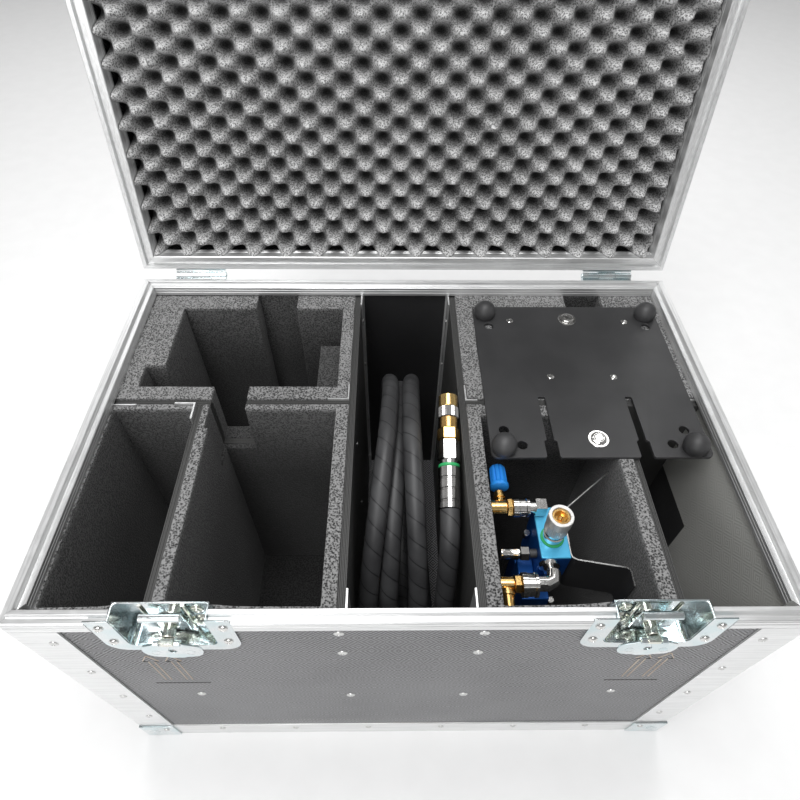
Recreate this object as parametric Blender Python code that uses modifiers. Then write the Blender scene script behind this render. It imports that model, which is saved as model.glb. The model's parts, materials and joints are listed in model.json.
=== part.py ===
"""Fitted road case: a laminated plywood box with a hinged lid, aluminium edges and foam compartments.

Frame: metres, +Z up, the front faces -Y. The origin is the centre of the bottom panel's underside.
The lid is drawn closed and then turned open about its hinge axis, which is where it rests.
"""
import math

import bmesh
import bpy
from mathutils import Matrix, Vector

# ---- the shell ----
WIDTH, DEPTH = 0.600, 0.394            # outside the aluminium edges
BODY_H, LID_H = 0.365, 0.085           # body up to the top of its rim, and lid above that plane
GAP = 0.0003                           # clearance between touching pieces
ALU = 0.0015                           # edge extrusions
PLY = 0.009                            # laminated panels
LEG = 0.0365                           # leg of the edge angles
HX, HY = WIDTH / 2, DEPTH / 2
SKIN = ALU + GAP                       # outer face of a panel, in from the case's outside
LINED = SKIN + PLY                     # inner face of a panel
FLOOR = SKIN + PLY - 0.002             # top of the bottom panel

# ---- the tongue and groove rims ----
RIM_DROP = 0.004                       # shoulder below the top of the tongue
RIM_LEG = 0.020                        # outer leg, down the panel
RIM_IN = 0.0155                        # whole width of the rim
RIM_INNER = 0.015                      # bottom of the inner leg
SLOT_ROOF = 0.0075                     # roof of the slot that holds the panel
PANEL_TOP = BODY_H - SLOT_ROOF - GAP

# ---- the hinge line ----
HINGE_OUT = 0.007
HINGE_Y = HY + HINGE_OUT
HINGE_Z = BODY_H - RIM_DROP + GAP
OPEN_ANGLE = math.radians(100)
HINGE_X = 0.235
HINGE_WIDTH = 0.056
HINGE_PLATE = 0.042
KNUCKLE_R, HINGE_PIN_R = 0.0042, 0.0020

# ---- the compartments ----
BOARD = 0.0065                         # divider boards
MID_X = 0.0505                         # half of the middle bay
BAY_X = MID_X + BOARD                  # outer face of the middle dividers
CROSS_Y = 0.0192                       # front face of the cross boards
SLOT_BOARD_X = -0.205                  # left face of the left slot board
RIGHT_BOARD_X = 0.2050                 # left face of the right slot board
LINING = 0.0055                        # thin foam on the side walls
FOAM_TOP = BODY_H - RIM_INNER - GAP
FLOOR_FOAM = 0.0225
BOARD_TOP = BODY_H - 0.0175
ANGLE = 0.020                          # leg of the small angles that hold the boards
ANGLE_RISE = 0.0020                    # small angles stand this far above the boards
RIGHT_TOP = BODY_H - 0.0185            # boards under the base plate are a little lower
REAR_Y, BACK_Y = 0.0420, 0.1610        # front and back of the rear pockets
AHEAD_Y, FRONT_Y = 0.0128, -0.1750     # back and front of the front pockets
NOTCH_X, NOTCH_Z = (-0.1920, -0.1575), BODY_H - 0.080
LIP, LIP_WIDTH = 0.0045, 0.0270        # the lid foam stands proud all round its edge
LID_FOAM_Z = BODY_H + 0.0055           # and stays above the packed kit elsewhere

# ---- the latches ----
LATCH_X = 0.185
DISH_HALF, DISH_DEPTH, DISH_DROP = 0.0345, 0.014, 0.051
FLANGE_HALF, FLANGE_DROP = 0.0525, 0.062
KEEPER_DROP, KEEPER_FLANGE = 0.036, 0.0465
SHEET = 0.0012
SPINDLE_DROP = 0.033
WING_OUT = 0.004
PART_LINE = 0.0004                     # the two latch halves part just under the rim's top

# ---- the side handles ----
HANDLE_Z = 0.205
HANDLE_Y, HANDLE_TALL = 0.055, 0.035   # half the recess
HANDLE_FLANGE = 0.015
HANDLE_DEPTH = 0.0092
BAIL_R = 0.0035

# ---- the kit ----
PLATE_X, PLATE_Y = (0.0755, 0.2790), (-0.0440, 0.1605)
PLATE_TOP, PLATE_T = BODY_H - 0.0135, 0.003
BALL_R, BALL_UP = 0.0115, 0.0060
BALL_IN, BALL_FRONT = 0.0130, 0.0100   # a ball's centre, in from the plate's sides and from its front
BALLS = [(x, y) for x in (PLATE_X[0] + BALL_IN, PLATE_X[1] - BALL_IN)
         for y in (PLATE_Y[1] - BALL_IN, PLATE_Y[0] + BALL_FRONT)]
COIL_Y, COIL_Z = -0.007, 0.196
HOSE_R, COIL_R = 0.009, 0.144
COIL_X = (-0.0480, 0.0160)             # the ring that holds the turns, along x
VALVE_X, VALVE_Z, VALVE_KNOB_Y = 0.0820, BODY_H - 0.0340, -0.0690

PARTS = bpy.data.collections.new("road_case")
CUTTERS = bpy.data.collections.new("cutters")

COLOURS = {
    "ply": ((0.045, 0.045, 0.05, 1), 0.6, 0.0),
    "board": ((0.06, 0.055, 0.05, 1), 0.7, 0.0),
    "aluminium": ((0.80, 0.80, 0.82, 1), 0.3, 1.0),
    "zinc": ((0.75, 0.77, 0.78, 1), 0.2, 1.0),
    "foam": ((0.09, 0.09, 0.09, 1), 0.95, 0.0),
    "handle": ((0.03, 0.03, 0.03, 1), 0.6, 0.0),
    "powder_coat": ((0.03, 0.03, 0.032, 1), 0.5, 0.2),
    "hose": ((0.02, 0.02, 0.022, 1), 0.45, 0.0),
    "brass": ((0.78, 0.55, 0.22, 1), 0.25, 1.0),
    "anodised": ((0.02, 0.22, 0.62, 1), 0.35, 0.7),
}


def start():
    """Empty the scene and link the two collections."""
    for obj in list(bpy.data.objects):
        bpy.data.objects.remove(obj, do_unlink=True)
    for group in (PARTS, CUTTERS):
        bpy.context.scene.collection.children.link(group)


def material(slot):
    """The Principled material of a slot, made once."""
    found = bpy.data.materials.get(slot)
    if found:
        return found
    colour, roughness, metallic = COLOURS[slot]
    made = bpy.data.materials.new(slot)
    made.use_nodes = True
    shader = made.node_tree.nodes["Principled BSDF"]
    shader.inputs["Base Color"].default_value = colour
    shader.inputs["Roughness"].default_value = roughness
    shader.inputs["Metallic"].default_value = metallic
    return made


def keep(bm, name, slot=None):
    """Store a bmesh as an object: a part with a material, or a cutter when it has no slot."""
    bmesh.ops.recalc_face_normals(bm, faces=bm.faces)
    mesh = bpy.data.meshes.new(name)
    bm.to_mesh(mesh)
    bm.free()
    obj = bpy.data.objects.new(name, mesh)
    if slot:
        mesh.materials.append(material(slot))
        PARTS.objects.link(obj)
    else:
        obj.hide_render = True
        obj.display_type = "WIRE"
        CUTTERS.objects.link(obj)
    return obj


def box(name, low, high, slot=None):
    """A box between two corners."""
    bm = bmesh.new()
    bmesh.ops.create_cube(bm, size=1.0)
    size = Vector(high) - Vector(low)
    centre = (Vector(high) + Vector(low)) / 2
    bmesh.ops.transform(bm, matrix=Matrix.Translation(centre) @ Matrix.Diagonal((*size, 1)), verts=bm.verts)
    return keep(bm, name, slot)


def rod(name, start_at, end_at, radius, slot=None, sides=16, end_radius=None):
    """A round bar, or a cone, between two points."""
    a, b = Vector(start_at), Vector(end_at)
    along = b - a
    bm = bmesh.new()
    bmesh.ops.create_cone(
        bm, cap_ends=True, segments=sides, radius1=radius, radius2=end_radius or radius, depth=along.length)
    turn = Vector((0, 0, 1)).rotation_difference(along).to_matrix().to_4x4()
    bmesh.ops.transform(bm, matrix=Matrix.Translation((a + b) / 2) @ turn, verts=bm.verts)
    return keep(bm, name, slot)


def ball(name, centre, radius, slot=None):
    """A sphere."""
    bm = bmesh.new()
    bmesh.ops.create_uvsphere(bm, u_segments=14, v_segments=8, radius=radius)
    bmesh.ops.translate(bm, vec=Vector(centre), verts=bm.verts)
    return keep(bm, name, slot)


def prism(name, outline, axis, low, high, slot=None):
    """An outline extruded along an axis: points are (x, y), (x, z) or (y, z) for axis z, y or x."""
    place = {
        "z": lambda p, t: (p[0], p[1], t),
        "y": lambda p, t: (p[0], t, p[1]),
        "x": lambda p, t: (t, p[0], p[1]),
    }[axis]
    bm = bmesh.new()
    ends = [[bm.verts.new(place(p, t)) for p in outline] for t in (low, high)]
    bm.faces.new(ends[0])
    bm.faces.new(ends[1])
    count = len(outline)
    for i in range(count):
        j = (i + 1) % count
        bm.faces.new((ends[0][i], ends[0][j], ends[1][j], ends[1][i]))
    return keep(bm, name, slot)


def ring_of(name, section, slot=None):
    """A section of (inset, z) points carried round the case with mitred corners."""
    bm = bmesh.new()
    corners = ((-1, -1), (1, -1), (1, 1), (-1, 1))
    rows = []
    for inset, z in section:
        rows.append([bm.verts.new((sx * (HX - inset), sy * (HY - inset), z)) for sx, sy in corners])
    for i, row in enumerate(rows):
        after = rows[(i + 1) % len(rows)]
        for k in range(4):
            m = (k + 1) % 4
            bm.faces.new((row[k], row[m], after[m], after[k]))
    return keep(bm, name, slot)


def boolean(target, tools, operation="DIFFERENCE"):
    """Cut or join with exact Booleans, which stay on the target as modifiers."""
    for tool in tools:
        modifier = target.modifiers.new(tool.name, "BOOLEAN")
        modifier.operation = operation
        modifier.solver = "EXACT"
        modifier.object = tool
    return target


def join(target, tools):
    return boolean(target, tools, "UNION")


def arc(cx, cy, radius, first, last, count):
    """Points on an arc, angles in degrees."""
    step = (last - first) / (count - 1)
    angles = [math.radians(first + step * i) for i in range(count)]
    return [(cx + radius * math.cos(a), cy + radius * math.sin(a)) for a in angles]


def smooth(obj):
    obj.data.shade_smooth()
    obj.data.set_sharp_from_angle(angle=math.radians(35))
    return obj


# ---------------------------------------------------------------- body shell

def body_panels():
    """Five plywood panels. The bottom one is rebated so its underside is flush with the edge angles."""
    rebate = LEG + GAP
    bottom = box("bottom_panel", (-HX + SKIN, -HY + SKIN, SKIN), (HX - SKIN, HY - SKIN, FLOOR), "ply")
    land = (HX - rebate, HY - rebate)
    join(bottom, [box("bottom_land", (-land[0], -land[1], 0), (land[0], land[1], FLOOR - 0.002))])
    base = FLOOR + GAP
    for name, sx in (("left_panel", -1), ("right_panel", 1)):
        xs = sorted((sx * (HX - SKIN), sx * (HX - LINED)))
        side = box(name, (xs[0], -HY + SKIN, base), (xs[1], HY - SKIN, PANEL_TOP), "ply")
        hole_y, hole_z = HANDLE_Y + SHEET + GAP, HANDLE_TALL + SHEET + GAP
        boolean(side, [box(name + "_hole", (xs[0] - 0.01, -hole_y, HANDLE_Z - hole_z),
                           (xs[1] + 0.01, hole_y, HANDLE_Z + hole_z))])
    across = HX - LINED - GAP
    front = box("front_panel", (-across, -HY + SKIN, base), (across, -HY + LINED, PANEL_TOP), "ply")
    hole = DISH_HALF + SHEET + GAP
    boolean(front, [box("front_hole_%d" % i, (sx * LATCH_X - hole, -HY, BODY_H - DISH_DROP - SHEET - GAP),
                        (sx * LATCH_X + hole, -HY + 0.03, BODY_H + 0.01)) for i, sx in enumerate((-1, 1))])
    box("back_panel", (-across, HY - LINED, base), (across, HY - SKIN, PANEL_TOP), "ply")


def corner_angles(z_low, z_high, prefix):
    """Tools for the four upright corner angles."""
    tools = []
    for i, (sx, sy) in enumerate(((-1, -1), (1, -1), (1, 1), (-1, 1))):
        outline = [(HX, HY), (HX - LEG, HY), (HX - LEG, HY - ALU), (HX - ALU, HY - ALU),
                   (HX - ALU, HY - LEG), (HX, HY - LEG)]
        points = [(sx * x, sy * y) for x, y in outline]
        tools.append(prism("%s_upright_%d" % (prefix, i), points, "z", z_low, z_high))
    return tools


def edge_frames():
    """Double-angle edging of the body and of the lid, each with its four uprights."""
    body = ring_of("body_edge_frame", [(0, 0), (0, LEG), (ALU, LEG), (ALU, ALU), (LEG, ALU), (LEG, 0)],
                   "aluminium")
    join(body, corner_angles(0.010, BODY_H - RIM_LEG - GAP, "body"))
    reach = LEG + GAP
    boolean(body, [box("foot_notch_%d" % i, (min(sx * (HX - reach), sx * (HX + 0.01)),
                                             min(sy * (HY - reach), sy * (HY + 0.01)), -0.01),
                       (max(sx * (HX - reach), sx * (HX + 0.01)), max(sy * (HY - reach), sy * (HY + 0.01)),
                        SKIN + GAP / 2)) for i, (sx, sy) in enumerate(((-1, -1), (1, -1), (1, 1), (-1, 1)))])
    top = BODY_H + LID_H
    lid = ring_of("lid_edge_frame", [(0, top), (LEG, top), (LEG, top - ALU), (ALU, top - ALU), (ALU, top - LEG),
                                     (0, top - LEG)], "aluminium")
    join(lid, corner_angles(BODY_H + RIM_LEG + GAP, top - 0.010, "lid"))
    return lid


def ball_corners():
    """Pressed corner caps with a domed ball: the lower four are flush with the underside."""
    made = []
    reach, proud, dome = LEG, ALU + GAP, 0.0130
    for level, z_out, z_dir in (("foot", 0.0, 1), ("lid", BODY_H + LID_H + proud, -1)):
        for where, sx, sy in (("front_left", -1, -1), ("front_right", 1, -1), ("back_right", 1, 1),
                              ("back_left", -1, 1)):
            name = "%s_corner_%s" % (level, where)

            def span(side, half, out, inside):
                return sorted((side * (half - inside), side * (half + out)))
            xs, ys = span(sx, HX, proud, reach), span(sy, HY, proud, reach)
            zs = sorted((z_out, z_out + z_dir * (reach + proud)))
            cap = box(name, (xs[0], ys[0], zs[0]), (xs[1], ys[1], zs[1]), "zinc")
            centre = (sx * (HX - dome + 0.0040), sy * (HY - dome + 0.0040), z_out + z_dir * dome)
            join(cap, [ball(name + "_ball", centre, dome)])
            xs, ys = span(sx, HX, GAP, 0.2), span(sy, HY, GAP, 0.2)
            inner = sorted((z_out + z_dir * ALU, z_out + z_dir * 0.1))
            boolean(cap, [box(name + "_hollow", (xs[0], ys[0], inner[0]), (xs[1], ys[1], inner[1]))])
            if level == "lid":
                made.append(cap)
    return made


def rim_section(sign):
    """The rim's section as (inset, z): the body carries the tongue, the lid the groove."""
    if sign > 0:
        z = BODY_H
        return [(0, z - RIM_LEG), (0, z - RIM_DROP), (0.0050, z - RIM_DROP), (0.0058, z), (0.0096, z),
                (0.0108, z - RIM_DROP), (RIM_IN, z - RIM_DROP), (RIM_IN, z - RIM_INNER),
                (LINED + GAP, z - RIM_INNER), (LINED + GAP, z - SLOT_ROOF), (ALU, z - SLOT_ROOF),
                (ALU, z - RIM_LEG)]
    z = BODY_H
    lip = z - RIM_DROP + GAP
    return [(0, lip), (0, z + RIM_LEG), (ALU, z + RIM_LEG), (ALU, z + SLOT_ROOF), (LINED + GAP, z + SLOT_ROOF),
            (LINED + GAP, z + RIM_INNER), (RIM_IN, z + RIM_INNER), (RIM_IN, lip), (0.0113, lip),
            (0.0104, z + 0.0006), (0.0052, z + 0.0006), (0.0046, lip)]


def rims():
    """Each rim is a C-shaped frame and a short front length between the two latches."""
    made = []
    cut = DISH_HALF + SHEET + GAP
    flange = FLANGE_HALF + GAP
    for level, sign in (("body", 1), ("lid", -1)):
        frame = ring_of(level + "_rim", rim_section(sign), "aluminium")
        low, high = BODY_H - 0.05, BODY_H + 0.05
        boolean(frame, [box(level + "_rim_open", (-LATCH_X - cut, -HY - 0.01, low),
                            (LATCH_X + cut, -HY + 0.03, high)),
                        box(level + "_rim_step", (-LATCH_X - flange, -HY - 0.01, low),
                            (LATCH_X + flange, -HY + SKIN, high))])
        section = [(-HY + inset, z) for inset, z in rim_section(sign)]
        bar = prism(level + "_rim_front", section, "x", -LATCH_X + cut, LATCH_X - cut, "aluminium")
        boolean(bar, [box("%s_bar_step_%d" % (level, i), (min(sx * (LATCH_X - flange), sx * LATCH_X), -HY - 0.01, low),
                          (max(sx * (LATCH_X - flange), sx * LATCH_X), -HY + SKIN, high))
                      for i, sx in enumerate((-1, 1))])
        if level == "lid":
            made += [frame, bar]
    return made


# ---------------------------------------------------------------- dividers and foam

def small_angle(name, corner, x_leg, y_leg, top):
    """A tool: an upright angle in a corner, its legs running off along x and y."""
    x, y = corner
    t = ALU
    tx, ty = math.copysign(t, x_leg), math.copysign(t, y_leg)
    outline = [(x, y), (x + x_leg, y), (x + x_leg, y + ty), (x + tx, y + ty), (x + tx, y + y_leg),
               (x, y + y_leg)]
    return prism(name, outline, "z", FLOOR + GAP, top)


def dividers():
    """Plywood boards, each with the aluminium angles that are riveted to it."""
    base = FLOOR + GAP
    end = HY - LINED - GAP
    for name, sx in (("divider_left", -1), ("divider_right", 1)):
        xs = sorted((sx * MID_X, sx * BAY_X))
        board = box(name, (xs[0], -end, base), (xs[1], end, BOARD_TOP), "board")
        join(board, [small_angle("%s_angle_%d" % (name, i), (sx * MID_X, sy * end), -sx * ANGLE, -sy * ANGLE,
                                 BOARD_TOP + ANGLE_RISE) for i, sy in enumerate((-1, 1))])
    far = HX - LINED - GAP
    near = BAY_X + GAP
    cross_back = CROSS_Y + BOARD
    left = box("cross_board_left", (-far, CROSS_Y, base), (-near, cross_back, BOARD_TOP), "board")
    boolean(left, [box("board_notch", (NOTCH_X[0], 0.0, NOTCH_Z), (NOTCH_X[1], 0.1, BODY_H))])
    join(left, [small_angle("cross_left_angle_0", (-near, cross_back), -0.0210, ANGLE, BOARD_TOP + ANGLE_RISE),
                small_angle("cross_left_angle_1", (-far, CROSS_Y), 0.0260, -ANGLE, BOARD_TOP + ANGLE_RISE)])
    right = box("cross_board_right", (near, CROSS_Y, base), (far, cross_back, RIGHT_TOP), "board")
    join(right, [small_angle("cross_right_angle_0", (near, cross_back), 0.0120, ANGLE, BOARD_TOP),
                 small_angle("cross_right_angle_1", (far, cross_back), -0.0090, ANGLE, BOARD_TOP)])
    slot = box("slot_board_left", (SLOT_BOARD_X, -end, base), (SLOT_BOARD_X + BOARD, CROSS_Y - GAP, BOARD_TOP),
               "board")
    other = box("slot_board_right", (RIGHT_BOARD_X, -end, base),
                (RIGHT_BOARD_X + BOARD, CROSS_Y - GAP, RIGHT_TOP), "board")
    for board, sx in ((slot, -1), (other, 1)):
        clear = DISH_HALF + SHEET + GAP
        boolean(board, [box(board.name + "_step", (sx * LATCH_X - clear, -end - 0.01, BODY_H - DISH_DROP - SHEET - GAP),
                            (sx * LATCH_X + clear, -HY + DISH_DEPTH + SHEET + GAP, BODY_H))])
    join(slot, [small_angle("slot_left_angle", (SLOT_BOARD_X, CROSS_Y - GAP), -ANGLE, -ANGLE,
                            BOARD_TOP + 0.0050)])


def foams():
    """The foam of each compartment, as a tray with its pockets cut out."""
    base = FLOOR + GAP
    floor = base + FLOOR_FOAM
    edge_x, edge_y = HX - LINED - GAP, HY - LINED - GAP
    over = BODY_H + 0.05
    near = BAY_X + GAP
    behind = CROSS_Y + BOARD + GAP
    ahead = CROSS_Y - GAP
    inner = SLOT_BOARD_X + BOARD + GAP
    cup = DISH_HALF + SHEET + GAP
    cup_low = BODY_H - DISH_DROP - SHEET - GAP
    cup_back = -HY + DISH_DEPTH + SHEET + GAP
    step = ANGLE + GAP

    rear = box("foam_rear_left", (-edge_x, behind, base), (-near, edge_y, FOAM_TOP), "foam")
    boolean(rear, [
        box("rear_pocket", (-0.2480, REAR_Y, floor), (-0.1220, BACK_Y, over)),
        box("rear_pocket_step", (-0.2680, REAR_Y, floor + 0.150), (-0.1220, 0.0710, over)),
        box("rear_pocket_right", (-0.1230, REAR_Y, floor), (-0.0700, BACK_Y, over)),
        box("rear_slot", (-0.1685, 0.1500, floor), (-0.1225, edge_y - 0.0012, over)),
        box("rear_notch", (NOTCH_X[0], 0.0, NOTCH_Z), (NOTCH_X[1], 0.0500, over)),
        box("rear_angle", (-near - 0.0215, 0.0, base - 0.01), (-near + 0.01, behind + step, over)),
    ])
    join(rear, [box("rear_block", (-0.0980, 0.0800, floor - 0.005), (-0.0690, 0.1450, BODY_H - 0.060))])

    front = box("foam_front_left", (inner, -edge_y, base), (-near, ahead, FOAM_TOP), "foam")
    boolean(front, [
        box("front_pocket", (-0.1885, FRONT_Y, floor), (-0.0695, AHEAD_Y, over)),
        box("front_dish", (-LATCH_X - cup, -edge_y - 0.01, cup_low), (-LATCH_X + cup, cup_back, over)),
        box("front_notch", (NOTCH_X[0], 0.0, NOTCH_Z), (NOTCH_X[1], 0.1, over)),
    ])

    slot = box("foam_slot_left", (-edge_x, -edge_y, base), (SLOT_BOARD_X - GAP, ahead, FOAM_TOP), "foam")
    boolean(slot, [
        box("slot_pocket", (-edge_x + LINING, FRONT_Y, floor), (SLOT_BOARD_X, AHEAD_Y, over)),
        box("slot_dish", (-LATCH_X - cup, -edge_y - 0.01, cup_low), (-LATCH_X + cup, cup_back, over)),
        box("slot_angle", (SLOT_BOARD_X - step, ahead - step, base - 0.01),
            (SLOT_BOARD_X, ahead + 0.01, over)),
        box("slot_angle_left", (-edge_x - 0.01, ahead - step, base - 0.01),
            (-edge_x + 0.0263, ahead + 0.01, over)),
    ])

    seat = PLATE_TOP - PLATE_T - GAP
    rear = box("foam_rear_right", (near, behind, base), (edge_x, edge_y, FOAM_TOP), "foam")
    boolean(rear, [
        box("plate_seat", (PLATE_X[0] - GAP, 0.0, seat), (PLATE_X[1] + GAP, PLATE_Y[1] + GAP, over)),
        box("right_pocket", (0.0950, 0.0520, floor), (0.2600, 0.1400, over)),
        box("right_slot", (0.1830, 0.1300, floor), (0.2250, edge_y - 0.0012, over)),
        box("right_angle_0", (near - 0.01, 0.0, base - 0.01), (near + 0.0123, behind + step, over)),
        box("right_angle_1", (edge_x - 0.0093, 0.0, base - 0.01), (edge_x + 0.01, behind + step, over)),
    ])

    front = box("foam_front_right", (near, -edge_y, base), (RIGHT_BOARD_X - GAP, ahead, FOAM_TOP), "foam")
    boolean(front, [
        box("valve_pocket", (0.0700, FRONT_Y, floor), (0.1920, 0.0060, over)),
        box("plate_room", (PLATE_X[0] - GAP - 0.003, PLATE_Y[0] - GAP, seat), (0.3, 0.1, over)),
        box("right_dish", (LATCH_X - cup, -edge_y - 0.01, cup_low), (LATCH_X + cup, cup_back, over)),
    ])
    top = BODY_H + LID_H - SKIN - PLY - GAP
    rim_x, rim_y = HX - RIM_IN - GAP, HY - RIM_IN - GAP
    lid = box("foam_lid", (-rim_x, -rim_y, BODY_H - LIP), (rim_x, rim_y, BODY_H + 0.030), "foam")
    join(lid, [box("foam_lid_back", (-edge_x, -edge_y, BODY_H + RIM_INNER + GAP), (edge_x, edge_y, top))])
    hollows = [box("foam_lid_hollow", (-rim_x + LIP_WIDTH, -rim_y + LIP_WIDTH, BODY_H - 0.02),
                   (rim_x - LIP_WIDTH, rim_y - LIP_WIDTH, LID_FOAM_Z))]
    for i, (x, y) in enumerate(BALLS):
        clear = BALL_R + 0.0050
        hollows.append(box("foam_lid_ball_%d" % i, (x - clear, y - clear, BODY_H - 0.02),
                           (HX if x > RIGHT_BOARD_X else x + clear, y + clear, LID_FOAM_Z)))
    hollows += [box("foam_lid_dish_%d" % i, (sx * LATCH_X - cup, -HY, BODY_H - 0.02),
                    (sx * LATCH_X + cup, cup_back, BODY_H + KEEPER_DROP + SHEET + GAP))
                for i, sx in enumerate((-1, 1))]
    boolean(lid, hollows)
    return lid


# ---------------------------------------------------------------- latches

def dish(name, centre_x, sign, cup_drop, flange_drop):
    """Half of a latch's pressed dish: its cup is open at the parting line, its flange lies on the panel."""
    part = BODY_H - (PART_LINE if sign < 0 else -0.0001)

    def z(drop):
        return BODY_H + sign * drop
    chamfer = 0.016
    low = z(flange_drop)
    outline = [(centre_x - FLANGE_HALF, part), (centre_x + FLANGE_HALF, part),
               (centre_x + FLANGE_HALF, low - sign * chamfer), (centre_x + FLANGE_HALF - chamfer, low),
               (centre_x - FLANGE_HALF + chamfer, low), (centre_x - FLANGE_HALF, low - sign * chamfer)]
    flange = prism(name, outline, "y", -HY + GAP, -HY + GAP + SHEET, "zinc")
    outer, deep = DISH_HALF + SHEET, -HY + DISH_DEPTH + SHEET
    zs = sorted((part, z(cup_drop + SHEET)))
    join(flange, [box(name + "_cup", (centre_x - outer, -HY + GAP, zs[0]), (centre_x + outer, deep, zs[1]))])
    zs = sorted((part - sign * 0.01, z(cup_drop)))
    boolean(flange, [box(name + "_hollow", (centre_x - DISH_HALF, -HY - 0.01, zs[0]),
                         (centre_x + DISH_HALF, -HY + DISH_DEPTH, zs[1]))])
    return flange


def latch(side, sx):
    """The working half of a latch: dish, turning spindle, draw hook and folding wing."""
    x, z = sx * LATCH_X, BODY_H - SPINDLE_DROP
    dish("latch_dish_" + side, x, -1, DISH_DROP, FLANGE_DROP)
    y_back = -HY + DISH_DEPTH - GAP
    y_pin = -HY - WING_OUT

    spindle = rod("latch_spindle_" + side, (x, y_back, z), (x, y_back - 0.0020, z), 0.0120, "zinc", 20)
    join(spindle, [rod("stem_" + side, (x, y_back - 0.001, z), (x, -HY - 0.0015, z), 0.0055),
                   box("head_" + side, (x - 0.0050, y_pin - 0.0020, z - 0.0022),
                       (x + 0.0050, -HY - 0.0010, z + 0.0022)),
                   rod("crossbar_" + side, (x - 0.0105, y_pin, z), (x + 0.0105, y_pin, z), 0.0013, sides=12)])

    wing_t, ear = 0.0016, 0.0028
    y_low, y_high = y_pin - wing_t / 2, y_pin + wing_t / 2
    outline = [(-0.0100, 0.0), (-0.0225, -0.0070), (-0.0235, -0.0250), (-0.0150, -0.0330), (0.0150, -0.0330),
               (0.0235, -0.0250), (0.0225, -0.0070), (0.0100, 0.0)]
    wing = prism("latch_wing_" + side, [(x + px, z + pz) for px, pz in outline], "y", y_low, y_high, "zinc")
    join(wing, [rod("ears_" + side, (x - 0.0100, y_pin, z), (x + 0.0100, y_pin, z), ear, sides=16)])
    boolean(wing, [box("wing_gap_" + side, (x - 0.0056, y_pin - 0.01, z - 0.0042),
                       (x + 0.0056, y_pin + 0.01, z + 0.01)),
                   rod("wing_bore_" + side, (x - 0.02, y_pin, z), (x + 0.02, y_pin, z), 0.0017, sides=12),
                   box("wing_eye_" + side, (x - 0.0040, y_pin - 0.01, z - 0.0190),
                       (x + 0.0040, y_pin + 0.01, z - 0.0120))])

    y0 = -HY + 0.0070
    top = BODY_H - 0.0030
    section = [(y0, top - 0.0160), (y0 + 0.0015, top - 0.0160), (y0 + 0.0015, top - 0.0010), (y0, top),
               (y0 - 0.0034, top), (y0 - 0.0045, top - 0.0015), (y0 - 0.0034, top - 0.0035),
               (y0, top - 0.0035)]
    hook = prism("latch_hook_" + side, section, "x", x - 0.0160, x + 0.0160, "zinc")
    join(hook, [box("hook_leg_%s_%d" % (side, i), (x + min(k * 0.0075, k * 0.0160), y0, top - 0.0330),
                    (x + max(k * 0.0075, k * 0.0160), y0 + 0.0015, top - 0.0150)) for i, k in enumerate((-1, 1))])


def keeper(side, sx):
    """The lid's half of a latch: a dish with a catch bar."""
    x = sx * LATCH_X
    made = dish("latch_keeper_" + side, x, 1, KEEPER_DROP, KEEPER_FLANGE)
    join(made, [box("catch_" + side, (x - DISH_HALF - 0.0005, -HY + 0.0010, BODY_H + 0.0150),
                    (x + DISH_HALF + 0.0005, -HY + 0.0040, BODY_H + 0.0185))])
    return made


# ---------------------------------------------------------------- hinges and handles

def hinge(side, sx):
    """A stop hinge: the body leaf carries the pin and two knuckles, the lid leaf the middle knuckle."""
    x = sx * HINGE_X
    face = HY + GAP
    half = HINGE_WIDTH / 2
    third = HINGE_WIDTH / 6

    def leaf(name, z_far, slot):
        low, high = sorted((HINGE_Z + math.copysign(0.0004, z_far - HINGE_Z), z_far))
        return box(name, (x - half, face, low), (x + half, face + ALU, high), slot)

    def knuckle(name, x_low, x_high, z_far):
        toward = math.copysign(1, z_far - HINGE_Z)
        outline = [(face, HINGE_Z + toward * 0.0006), (HINGE_Y, HINGE_Z + toward * 0.0006),
                   (HINGE_Y + 0.002, HINGE_Z + toward * 0.0030), (face, HINGE_Z + toward * 0.0090)]
        web = prism(name + "_web", outline, "x", x_low, x_high)
        barrel = rod(name + "_barrel", (x_low, HINGE_Y, HINGE_Z), (x_high, HINGE_Y, HINGE_Z), KNUCKLE_R,
                     sides=18)
        return [web, barrel]

    def clear(name, x_low, x_high):
        return rod(name, (x_low, HINGE_Y, HINGE_Z), (x_high, HINGE_Y, HINGE_Z), KNUCKLE_R + 0.0005, sides=18)

    lower = leaf("hinge_leaf_body_" + side, HINGE_Z - HINGE_PLATE, "zinc")
    boolean(lower, [clear("lower_clear_" + side, x - half - 0.01, x + half + 0.01)])
    join(lower, knuckle("lower_a_" + side, x - half, x - third - GAP, HINGE_Z - HINGE_PLATE)
         + knuckle("lower_b_" + side, x + third + GAP, x + half, HINGE_Z - HINGE_PLATE)
         + [rod("hinge_pin_" + side, (x - half - 0.001, HINGE_Y, HINGE_Z), (x + half + 0.001, HINGE_Y, HINGE_Z),
                HINGE_PIN_R, sides=14)])

    upper = leaf("hinge_leaf_lid_" + side, HINGE_Z + HINGE_PLATE, "zinc")
    boolean(upper, [clear("upper_clear_" + side, x - half - 0.01, x + half + 0.01)])
    join(upper, knuckle("upper_" + side, x - third, x + third, HINGE_Z + HINGE_PLATE))
    boolean(upper, [rod("upper_bore_" + side, (x - half, HINGE_Y, HINGE_Z), (x + half, HINGE_Y, HINGE_Z),
                        HINGE_PIN_R + GAP, sides=14)])
    return upper


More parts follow.
